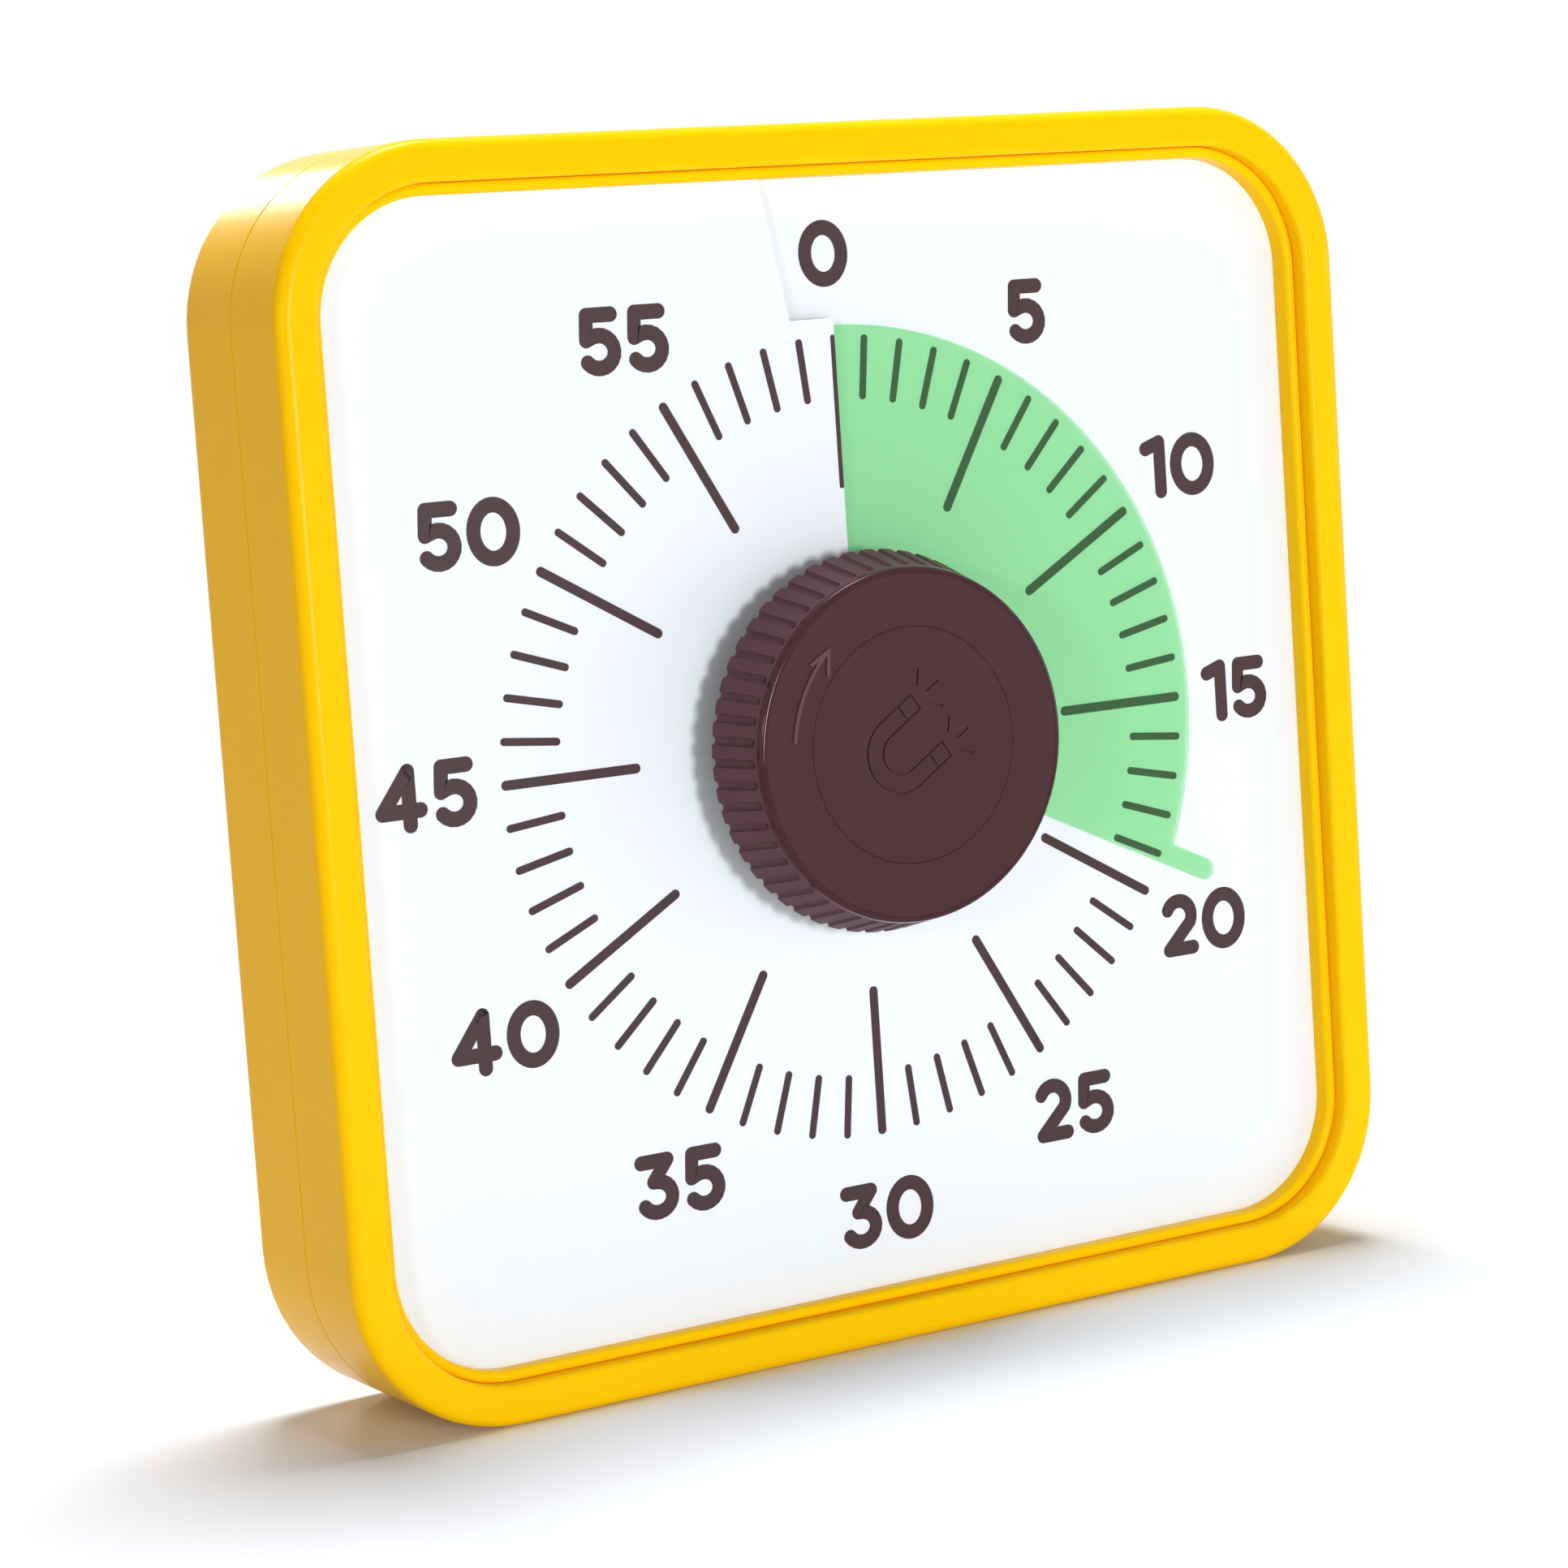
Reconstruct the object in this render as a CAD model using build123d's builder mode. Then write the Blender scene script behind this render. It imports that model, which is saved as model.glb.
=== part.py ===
from build123d import *

import math
import os

# Visual countdown timer, sixty minutes, in millimetres.
# +Z is up, the dial faces -Y, +X is to the viewer's right.
# The origin is the middle of the base, half way through the case's depth.
# "Height" means distance in front of that mid-depth plane, towards the viewer.

# Case
CASE_SIZE = 190.0  # width and height
CASE_DEPTH = 34.0
CASE_CORNER = 26.0
SHELL_WALL = 2.2
SEAM_SETBACK = 16.5  # front rim to the parting plane
SEAM_CHAMFER = 0.25
RIM_ROUND = 2.0
BACK_ROUND = 2.0
LIP_RISE = 2.0  # rear shell's locating lip, inside the front shell
LIP_ROOT = 2.5
LIP_WALL = 1.2
LIP_CLEARANCE = 0.1

# Window
WINDOW_BORDER = 8.1  # case side to the window's edge
BEAD_WIDTH = 1.8
BEAD_HEIGHT = 0.9
BEAD_ROUND = 0.8
LEDGE_SETBACK = 3.5  # front rim to the foot of the bead
MOUTH_ROUND = 0.8

# Dial card: a sheet that climbs by one rise in one clockwise turn, slit at the top
DIAL_SETBACK = 5.4  # front rim to the printed face, half way round
RAMP_RISE = 1.8
CARD_THICKNESS = 0.5
CARD_OVERLAP = 0.6  # card under the window's edge
CARD_BORE = 9.2
CARD_GAP = 0.05
JOG_RADIUS = 65.3  # where the slit steps aside to clear the pointer
FLAP_FOOT = 7.8  # width of the step
FLAP_SLANT = 0.19  # sideways run of the flap's edge for each unit of height
TONGUE_LAP = 2.0  # tongue under the flap's edge
TONGUE_SPARE = 1.0  # degrees of ramp past the tongue, before it is cut to shape

# Film
FILM_RADIUS = 64.2
FILM_THICKNESS = 0.3
FILM_GAP = 0.5  # card's printed face to the film's back
FILM_LEAD = 115.2  # leading edge at rest, degrees clockwise from the top
FILM_ARC = 358.0
POINTER_WIDTH = 3.5
POINTER_REACH = 73.4
FILM_TRIM = 1.0  # sheet past the pointer, before it is cut to shape
HUB_RADIUS = 8.0
FIT = 0.05  # running clearance on a radius

# Knob
KNOB_GAP = 6.0  # printed face, half way round, to the skirt
KNOB_HEIGHT = 10.3
KNOB_BASE_RADIUS = 29.7
KNOB_FACE_RADIUS = 27.1
KNOB_WALL = 2.4
KNOB_ROOF = 4.4
KNOB_EDGE_ROUND = 0.7
KNOB_BOSS_RADIUS = 6.5
KNOB_BOSS_GAP = 2.1  # printed face, half way round, to the boss
FLUTES = 54
FLUTE_RADIUS = 0.75
FLUTE_DEPTH = 0.5
FLUTE_SHARE = 0.8  # of the skirt's height
CAP_RADIUS = 18.1
CAP_THICKNESS = 1.6
CAP_GAP = 0.08
ARROW_RADIUS = 21.4
ARROW_START = 277.0  # degrees clockwise from the top
ARROW_END = 318.0
ARROW_WIDTH = 0.6
ARROW_RELIEF = 0.25
ARROW_BARB = 3.9
ARROW_SPREAD = 27.0  # degrees from the arrow's heading to each barb
ARROW_TWIST = 16.0  # degrees the head turns outward
ICON_STROKE = 0.3
ICON_DEPTH = 0.3
ICON_TILT = 56.7  # clock bearing of the open end
ICON_SHIFT = 2.6  # cap's middle back to the bend's middle
ICON_SIDE = 0.5  # cap's middle to the magnet's middle line
ICON_OUTER = 6.2
ICON_INNER = 3.1
ICON_LEG = 6.9
ICON_POLE = 3.0
RAY_FAN = 48.0  # degrees between rays
RAY_START = 2.4
RAY_END = 5.0

# Arbor and bush
ARBOR_RADIUS = 3.0
ARBOR_FLAT = 2.5  # axis to each flat
JOURNAL_RADIUS = 2.5
PIVOT_RADIUS = 1.2
PIVOT_LENGTH = 1.1
BUSH_RADIUS = 4.6
BUSH_FLANGE_RADIUS = 6.5
BUSH_FLANGE = 1.0

# Dial carrier
CARRIER_PLATE = 1.5
CARRIER_CLEARANCE = 0.7  # film's lowest place to the carrier
CARRIER_WALL = 1.6
CARRIER_INSET = 0.5  # inside the window border
CARRIER_RING_RADIUS = 67.2
EAR_CLEARANCE = 0.2
PILLAR_RADIUS = 3.0
PILLAR_HEIGHT = 4.0

# Case screws, in the side walls
SCREW_INSET = 4.7  # case side to the screw's axis
SCREW_SPREAD = 50.0  # above and below the dial's axis
BOSS_OVERLAP = 0.1
TOWER_WALL = 1.0
HEAD_RADIUS = 2.75
HEAD_HEIGHT = 2.0
HEAD_CLEARANCE = 0.3
THREAD_RADIUS = 1.5
THREAD_CLEARANCE = 0.2
PILOT_CLEARANCE = 0.02
HEAD_SETBACK = 3.0  # parting plane to the screw head's seat
SCREW_LENGTH = 16.0
PILOT_SPARE = 0.8

# Movement
MOVEMENT_WIDTH = 56.0
MOVEMENT_TALL = 58.0
MOVEMENT_CENTRE = (5.0, -8.0)
MOVEMENT_DEPTH = 15.8
MOVEMENT_WALL = 1.4
MOVEMENT_PLATE = 1.6
MOVEMENT_CORNER = 4.0
EAR_REACH = 4.0  # housing side to the screw's axis
EAR_BITE = 1.0  # ear's bridge into the housing wall
EAR_RADIUS = 3.6
EAR_THICKNESS = 1.6
SMALL_THREAD = 1.0
SMALL_HEAD = 1.9
SMALL_HEAD_HEIGHT = 1.3
SMALL_LENGTH = 6.0
DRIVE_WIDTH = 0.6
DRIVE_SHARE = 0.6  # of the head's height and radius

# Gear train
ADDENDUM = 0.75  # in modules
DEDENDUM = 1.15
TOOTH_BITE = 0.1  # tooth into the root circle
TOOTH_SHARE = 0.42  # tooth at the pitch circle, as a share of the pitch
TOOTH_TIP = 0.24
TOOTH_ROOT = 0.56
CENTRE_MODULE = 0.5
CENTRE_TEETH = 60
THIRD_PINION = 10
THIRD_MODULE = 0.4
THIRD_TEETH = 50
FOURTH_PINION = 10
FOURTH_MODULE = 0.35
FOURTH_TEETH = 48
ROTOR_PINION = 8
THIRD_BEARING = 200.0  # degrees clockwise from the top, from the arbor
FOURTH_BEARING = 120.0  # from the third wheel
ROTOR_BEARING = 60.0  # from the fourth wheel
WEB_HOLE_RING = 0.625  # as a share of the pitch radius
WEB_HOLE_SHARE = 0.2
CENTRE_HOLES = 5
THIRD_HOLES = 4
FOURTH_HOLES = 4
WHEEL_THICKNESS = 1.2
CENTRE_THICKNESS = 1.6
STAFF_RADIUS = 0.8
ROTOR_STAFF_RADIUS = 0.5
CENTRE_SETBACK = 3.0  # movement's front face to the centre wheel
CLUTCH_HEIGHT = 0.8
CLUTCH_RADIUS = 5.5
CLUTCH_THICKNESS = 0.3
CLUTCH_FOOT = 3.4  # radius of the spring's flat middle
COLLAR_RADIUS = 4.4
COLLAR_HEIGHT = 1.0
LAYER_GAP = 1.6  # centre wheel to third wheel, and fourth wheel to stator
FOURTH_GAP = 1.2  # third wheel to fourth wheel
MAGNET_ROTOR_RADIUS = 2.8
MAGNET_ROTOR_HEIGHT = 2.6
STATOR_THICKNESS = 1.2
STATOR_AIR_GAP = 0.6
STATOR_TALL = 22.0
STATOR_LEFT = 6.0
STATOR_BODY = 11.0
STATOR_ARM = 3.0
CORE_WIDTH = 3.4
CORE_SETBACK = 3.5  # housing's inner wall to the core
COIL_WIDTH = 6.4
COIL_TALL = 3.6
COIL_LENGTH = 13.0
COIL_EDGE = 0.8

# Battery bay, for one AA cell lying along X
CELL_RADIUS = 7.25
CELL_LENGTH = 49.2
CELL_NUB_RADIUS = 2.7
CELL_NUB = 1.2
BAY_DROP = 57.0  # dial's axis to the cell's axis
BAY_WALL = 2.4
BAY_ROOF = 1.4
CELL_GAP = 0.3  # cell to door, roof and sides
CELL_EDGE = 0.8
CONTACT_THICKNESS = 0.5
CONTACT_SIZE = 12.0
CONTACT_TAB = 3.0
CONTACT_TAIL = 2.0  # tab past the bay's roof
CONTACT_SLOT_GAP = 0.2
SPRING_WIRE = 0.4
SPRING_RADIUS = 3.6
SPRING_LENGTH = 3.9  # with the cell in place
SPRING_TURNS = 3.5
SPRING_BITE = 0.1
DOOR_LEDGE = 1.5
DOOR_THICKNESS = 2.0
DOOR_SEAT_GAP = 0.05
DOOR_CLEARANCE = 0.3
DOOR_CORNER = 2.0
DOOR_HOOK_WIDTH = 7.0
DOOR_HOOK_SPREAD = 18.0
DOOR_HOOK_RADIUS = 3.6  # hinge line to the hook's inner face
DOOR_HOOK_THICKNESS = 1.2
DOOR_HOOK_GAP = 0.2  # hook to its bearing and its slot
DOOR_HOOK_ROOT = 68.0  # degrees from straight inward, up to the door
DOOR_HOOK_UNDER = 48.0  # degrees from straight inward, down under the floor
DOOR_HOOK_ROOM = 4.0  # degrees of slot past the hook's end
DOOR_GRIPS = 5
DOOR_GRIP_PITCH = 2.0
DOOR_GRIP_WIDTH = 12.0
DOOR_GRIP_HEIGHT = 0.8
DOOR_GRIP_DEPTH = 0.5
DOOR_NIB_WIDTH = 10.0
DOOR_NIB = 0.25
FINGER_RADIUS = 7.0
FINGER_DEPTH = 1.3

# Electronics
BOARD_RISE = 57.0  # above the dial's axis
BOARD_WIDTH = 46.0
BOARD_TALL = 26.0
BOARD_THICKNESS = 1.4
BOARD_CORNER = 0.8
BOARD_STANDOFF = 6.2
BOARD_POST_RADIUS = 2.4
BOARD_POST_INSET = 3.2
SWITCH_WIDTH = 13.0
SWITCH_TALL = 6.0
SWITCH_HEIGHT = 3.8
SLIDER_TRAVEL = 3.0  # to each side
SLIDER_WIDTH = 7.0
SLIDER_TALL = 5.4
SLIDER_SETBACK = 0.2
SLIDER_CLEARANCE = 0.3
SLIDER_RECESS = 1.5
SLIDER_LIFT = 0.1  # button over the recess's floor
STEM_WIDTH = 3.0
STEM_TALL = 2.4
STEM_BITE = 1.0
STEM_ROOM = 1.6
SLIDER_RIBS = 3
SLIDER_RIB_PITCH = 1.6
SLIDER_RIB_WIDTH = 0.7
SLIDER_RIB_DEPTH = 0.4
BUZZER_PLACE = (-52.0, 0.0)
BUZZER_RADIUS = 12.0
BUZZER_HEIGHT = 4.0
BUZZER_EDGE = 0.8
BUZZER_WALL = 1.2
BUZZER_RIM = 2.5
SOUND_HOLE_RADIUS = 1.0
SOUND_RINGS = 2
SOUND_RING_PITCH = 3.6
SOUND_RING_HOLES = 6  # in the inner ring
CHIP_PLACE = (9.0, -2.0)  # from the board's middle
CHIP_SIZE = 9.0
CHIP_HEIGHT = 1.6
CAN_PLACE = (-11.0, -4.0)
CAN_RADIUS = 2.5
CAN_HEIGHT = 7.0

# Magnets in the back
MAGNET_SPREAD = 62.0
MAGNET_RADIUS = 10.0
MAGNET_THICKNESS = 3.0
MAGNET_SETBACK = 0.1
MAGNET_GAP = 0.1
MAGNET_WALL = 1.6

# Internal leads
LEAD_RADIUS = 0.6
LEAD_BEND = 3.0
LEAD_RUN = 44.0  # from the middle to each upright run
LEAD_RISE = 1.5  # over the bay's roof
THIN_LEAD_RADIUS = 0.3
THIN_LEAD_BEND = 1.4
THIN_LEAD_PITCH = 1.0
COIL_LEAD_X = 27.0
COIL_LEAD_TURN = 32.0
COIL_LEAD_END = 10.0
COIL_NOTCH = 3.2
NOTCH_SPARE = 0.5  # notch past the housing wall
BUZZER_LEAD_X = -36.0

# Places that follow from the sizes above
FRONT = CASE_DEPTH / 2
BACK = -CASE_DEPTH / 2
FLOOR = BACK + SHELL_WALL
SEAM = FRONT - SEAM_SETBACK
LEDGE = FRONT - LEDGE_SETBACK
DIAL = FRONT - DIAL_SETBACK
CARD_LOW = DIAL - RAMP_RISE / 2 - CARD_THICKNESS
FILM_LOW = DIAL - RAMP_RISE / 2 + FILM_GAP - RAMP_RISE * FILM_ARC / 360
FILM_TRAIL = FILM_LEAD - FILM_ARC
CARRIER_FRONT = FILM_LOW - CARRIER_CLEARANCE
CARRIER_BACK = CARRIER_FRONT - CARRIER_PLATE
CARD_INSET = WINDOW_BORDER - CARD_OVERLAP
CARD_HALF = CASE_SIZE / 2 - CARD_INSET
FLAP_ANGLE = math.degrees(math.atan2(FLAP_FOOT, JOG_RADIUS))
TONGUE_TOP = FLAP_FOOT + TONGUE_LAP + FLAP_SLANT * (CARD_HALF - JOG_RADIUS)
TONGUE_ANGLE = math.degrees(math.atan2(TONGUE_TOP, CARD_HALF)) + TONGUE_SPARE
SCREW_X = CASE_SIZE / 2 - SCREW_INSET
SCREW_PLACES = [(x, z) for x in (-SCREW_X, SCREW_X) for z in (-SCREW_SPREAD, SCREW_SPREAD)]
SCREW_SEAT = SEAM - HEAD_SETBACK
KNOB_BASE = DIAL + KNOB_GAP
KNOB_BOSS_FOOT = DIAL + KNOB_BOSS_GAP
KNOB_FACE = KNOB_BASE + KNOB_HEIGHT
ARBOR_TOP = KNOB_FACE - KNOB_ROOF
ARBOR_SHOULDER = CARRIER_FRONT + FIT
KNOB_SCREW_SEAT = KNOB_FACE - CAP_THICKNESS - SMALL_HEAD_HEIGHT
TOWER_RADIUS = HEAD_RADIUS + HEAD_CLEARANCE + TOWER_WALL
MOVEMENT_FACE = CARRIER_BACK
MOVEMENT_COVER = MOVEMENT_FACE - MOVEMENT_DEPTH + MOVEMENT_PLATE
MOVEMENT_ROOF = MOVEMENT_FACE - MOVEMENT_PLATE
CENTRE_TOP = MOVEMENT_FACE - CENTRE_SETBACK
CENTRE_LOW = CENTRE_TOP - CENTRE_THICKNESS
THIRD_TOP = CENTRE_LOW - LAYER_GAP
THIRD_LOW = THIRD_TOP - WHEEL_THICKNESS
FOURTH_TOP = THIRD_LOW - FOURTH_GAP
FOURTH_LOW = FOURTH_TOP - WHEEL_THICKNESS
STATOR_TOP = FOURTH_LOW - LAYER_GAP
STATOR_LOW = STATOR_TOP - STATOR_THICKNESS
STATOR_MIDDLE = STATOR_TOP - STATOR_THICKNESS / 2
EAR_FRONT = CARRIER_BACK - PILLAR_HEIGHT
EAR_BACK = EAR_FRONT - EAR_THICKNESS
CELL_LEVEL = BACK + DOOR_THICKNESS + CELL_GAP + CELL_RADIUS
BAY_TALL = 2 * (CELL_RADIUS + CELL_GAP)
SPRING_ROOM = 2 * SPRING_WIRE - SPRING_BITE + SPRING_LENGTH
BAY_LENGTH = 2 * CONTACT_THICKNESS + SPRING_ROOM + CELL_LENGTH + CELL_NUB
BAY_TOP = CELL_LEVEL + CELL_RADIUS + CELL_GAP
DOOR_HOLE_WIDTH = BAY_LENGTH + 2 * DOOR_LEDGE
DOOR_HOLE_TALL = BAY_TALL + 2 * DOOR_LEDGE
BOARD_LOW = FLOOR + BOARD_STANDOFF
BOARD_TOP = BOARD_LOW + BOARD_THICKNESS
MAGNET_PLACES = [(x, z) for x in (-MAGNET_SPREAD, MAGNET_SPREAD) for z in (-MAGNET_SPREAD, MAGNET_SPREAD)]
POST_X = BOARD_WIDTH / 2 - BOARD_POST_INSET
POST_Z = BOARD_TALL / 2 - BOARD_POST_INSET
POST_PLACES = [(x, BOARD_RISE + z) for x in (-POST_X, POST_X) for z in (-POST_Z, POST_Z)]
EAR_X = MOVEMENT_WIDTH / 2 + EAR_REACH
EAR_Z = MOVEMENT_TALL / 2 - EAR_RADIUS - MOVEMENT_CORNER
EAR_PLACES = [
    (MOVEMENT_CENTRE[0] + x, MOVEMENT_CENTRE[1] + z)
    for x in (-EAR_X, EAR_X)
    for z in (-EAR_Z, EAR_Z)
]


def facing(height):
    """Plane that faces the viewer, centred on the dial's axis, at this height."""
    return Plane(origin=(0, -height, CASE_SIZE / 2), x_dir=(1, 0, 0), z_dir=(0, -1, 0))


def bearing_plane(height, bearing):
    """The same plane, turned so that its X axis points along a clock bearing."""
    angle = math.radians(bearing)
    return Plane(
        origin=(0, -height, CASE_SIZE / 2),
        x_dir=(math.sin(angle), 0, math.cos(angle)),
        z_dir=(0, -1, 0),
    )


def case_outline(inset, mode=Mode.ADD):
    """The case's rounded square, this far inside its outer faces."""
    side = CASE_SIZE - 2 * inset
    RectangleRounded(side, side, CASE_CORNER - inset, mode=mode)


def ramp(back, front, inner, outer, start=0.0, turn=360.0):
    """Part of the dial's ramp, between two offsets from the printed face."""
    level = DIAL + RAMP_RISE * (start / 360 - 0.5)
    with BuildPart() as sheet:
        with BuildLine() as climb:
            Helix(pitch=RAMP_RISE, height=RAMP_RISE * turn / 360, radius=outer, lefthand=True)
        with BuildSketch(Plane.XZ):
            with Locations(((inner + outer) / 2, (back + front) / 2)):
                Rectangle(outer - inner, front - back)
        sweep(path=climb.line, is_frenet=True)
    return sheet.part.moved(bearing_plane(level, start).location)


def beyond(place, distance, bearing):
    """The place at this distance from another, along a clock bearing."""
    angle = math.radians(bearing)
    return (place[0] + distance * math.sin(angle), place[1] + distance * math.cos(angle))


def toothed(teeth, module, tooth_bearing):
    """Outline of a gear with one tooth on the given clock bearing."""
    pitch_radius = teeth * module / 2
    root = pitch_radius - DEDENDUM * module
    tip = pitch_radius + ADDENDUM * module
    pitch = math.pi * module
    Circle(root)
    with PolarLocations(0, teeth, start_angle=90 - tooth_bearing):
        Polygon(
            (root - TOOTH_BITE * module, -TOOTH_ROOT * pitch / 2),
            (pitch_radius, -TOOTH_SHARE * pitch / 2),
            (tip, -TOOTH_TIP * pitch / 2),
            (tip, TOOTH_TIP * pitch / 2),
            (pitch_radius, TOOTH_SHARE * pitch / 2),
            (root - TOOTH_BITE * module, TOOTH_ROOT * pitch / 2),
            align=None,
        )


def web_holes(teeth, module, count):
    """Round holes that lighten a wheel's web."""
    pitch_radius = teeth * module / 2
    with PolarLocations(WEB_HOLE_RING * pitch_radius, count):
        Circle(WEB_HOLE_SHARE * pitch_radius, mode=Mode.SUBTRACT)


def gap_bearing(teeth, bearing):
    """Bearing of a tooth, for a gear with a gap on the given bearing."""
    return bearing + 180 / teeth


THIRD_PLACE = beyond((0, 0), CENTRE_MODULE * (CENTRE_TEETH + THIRD_PINION) / 2, THIRD_BEARING)
FOURTH_PLACE = beyond(THIRD_PLACE, THIRD_MODULE * (THIRD_TEETH + FOURTH_PINION) / 2, FOURTH_BEARING)
ROTOR_PLACE = beyond(FOURTH_PLACE, FOURTH_MODULE * (FOURTH_TEETH + ROTOR_PINION) / 2, ROTOR_BEARING)
STAFF_PLACES = [THIRD_PLACE, FOURTH_PLACE]


# Front shell: rim, ledge with its bead, and side walls back to the seam

with BuildPart() as bead:
    with BuildSketch(facing(LEDGE)):
        case_outline(WINDOW_BORDER - BEAD_WIDTH)
        case_outline(WINDOW_BORDER, mode=Mode.SUBTRACT)
    extrude(amount=BEAD_HEIGHT)
    fillet(bead.faces().sort_by(Axis.Y)[0].edges(), radius=BEAD_ROUND)

with BuildPart() as card_space:
    for half in (0, 180):
        add(
            ramp(
                back=-RAMP_RISE - 2 * CARD_THICKNESS,
                front=CARD_GAP,
                inner=CARD_BORE,
                outer=CASE_SIZE,
                start=half - FLAP_ANGLE,
                turn=180,
            )
        )
    with BuildSketch(facing(BACK)):
        case_outline(SHELL_WALL)
    extrude(amount=CASE_DEPTH, mode=Mode.INTERSECT)

with BuildPart() as front_shell:
    with BuildSketch(facing(SEAM)):
        case_outline(0)
    extrude(amount=SEAM_SETBACK)
    fillet(front_shell.faces().sort_by(Axis.Y)[0].edges(), radius=RIM_ROUND)
    chamfer(front_shell.faces().sort_by(Axis.Y)[-1].edges(), length=SEAM_CHAMFER)
    with BuildSketch(facing(FRONT)):
        case_outline(WINDOW_BORDER - BEAD_WIDTH)
    extrude(amount=-LEDGE_SETBACK, mode=Mode.SUBTRACT)
    mouth = front_shell.faces().sort_by(Axis.Y)[0].inner_wires()[0]
    fillet(mouth.edges(), radius=MOUTH_ROUND)
    with BuildSketch(facing(SEAM)):
        case_outline(SHELL_WALL)
    extrude(amount=CARD_LOW - SEAM, mode=Mode.SUBTRACT)
    add(card_space.part, mode=Mode.SUBTRACT)
    with BuildSketch(facing(SEAM)):
        case_outline(WINDOW_BORDER)
    extrude(amount=SEAM_SETBACK, mode=Mode.SUBTRACT)
    add(bead.part)
    with BuildSketch(facing(CARRIER_FRONT)):
        with Locations(SCREW_PLACES):
            Circle(SCREW_INSET - SHELL_WALL + BOSS_OVERLAP)
    extrude(amount=LEDGE - CARRIER_FRONT)
    with BuildSketch(facing(CARRIER_FRONT)):
        with Locations(SCREW_PLACES):
            Circle(THREAD_RADIUS + PILOT_CLEARANCE)
    extrude(amount=SCREW_SEAT + SCREW_LENGTH + PILOT_SPARE - CARRIER_FRONT, mode=Mode.SUBTRACT)


# Dial card: the ramp cut to the window, with its slit, step and tongue


def beside_slit(lap):
    """The corner of the card left of the slit and outside the step."""
    top = CASE_SIZE / 2
    foot = FLAP_FOOT + lap
    Polygon(
        (0, JOG_RADIUS),
        (-foot, JOG_RADIUS),
        (-foot - FLAP_SLANT * (top - JOG_RADIUS), top),
        (0, top),
        align=None,
    )


with BuildPart() as tongue:
    add(ramp(-CARD_THICKNESS, 0, CARD_BORE, CASE_SIZE, start=-2 * TONGUE_ANGLE, turn=2 * TONGUE_ANGLE))
    with BuildSketch(facing(BACK)):
        beside_slit(TONGUE_LAP)
    extrude(amount=CASE_DEPTH, mode=Mode.INTERSECT)

with BuildPart() as dial_card:
    add(ramp(-CARD_THICKNESS, 0, CARD_BORE, CASE_SIZE))
    with BuildSketch(facing(BACK)):
        beside_slit(0)
    extrude(amount=CASE_DEPTH, mode=Mode.SUBTRACT)
    add(tongue.part)
    with BuildSketch(facing(BACK)):
        case_outline(CARD_INSET)
    extrude(amount=CASE_DEPTH, mode=Mode.INTERSECT)


# Film disc with its pointer, and the hub that carries it

with BuildPart() as film_disc:
    add(
        ramp(
            back=FILM_GAP,
            front=FILM_GAP + FILM_THICKNESS,
            inner=HUB_RADIUS,
            outer=POINTER_REACH + FILM_TRIM,
            start=FILM_TRAIL,
            turn=FILM_ARC,
        )
    )
    with BuildSketch(bearing_plane(BACK, FILM_LEAD)):
        Circle(FILM_RADIUS)
        with Locations((POINTER_REACH / 2, POINTER_WIDTH / 2)):
            SlotOverall(POINTER_REACH, POINTER_WIDTH)
    extrude(amount=CASE_DEPTH, mode=Mode.INTERSECT)

film_start = DIAL + RAMP_RISE * (FILM_TRAIL / 360 - 0.5) + FILM_GAP
film_end = film_start + RAMP_RISE * FILM_ARC / 360 + FILM_THICKNESS

with BuildPart() as film_hub:
    with BuildSketch(facing(film_start)):
        Circle(HUB_RADIUS)
    extrude(amount=film_end - film_start)
    with BuildSketch(facing(film_start)):
        Circle(ARBOR_RADIUS + FIT)
        Rectangle(2 * HUB_RADIUS, 2 * (ARBOR_FLAT + FIT), mode=Mode.INTERSECT)
    extrude(amount=film_end - film_start, mode=Mode.SUBTRACT)


# Knob: fluted skirt, face with a raised arrow, inset cap with a pictogram

skirt_slant = math.degrees(math.atan2(KNOB_BASE_RADIUS - KNOB_FACE_RADIUS, KNOB_HEIGHT))
flute_length = KNOB_HEIGHT * FLUTE_SHARE
flute_top_radius = KNOB_BASE_RADIUS - flute_length * math.tan(math.radians(skirt_slant))


with BuildPart() as flute:
    flute_offset = FLUTE_RADIUS - FLUTE_DEPTH
    lean = Plane(
        origin=(KNOB_BASE_RADIUS + flute_offset, 0, 0),
        z_dir=(flute_top_radius - KNOB_BASE_RADIUS, 0, flute_length),
    )
    with BuildSketch(lean):
        Circle(FLUTE_RADIUS)
    extrude(amount=flute_length, both=True)
    with Locations((flute_top_radius + flute_offset, 0, flute_length)):
        Sphere(FLUTE_RADIUS)

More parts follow.
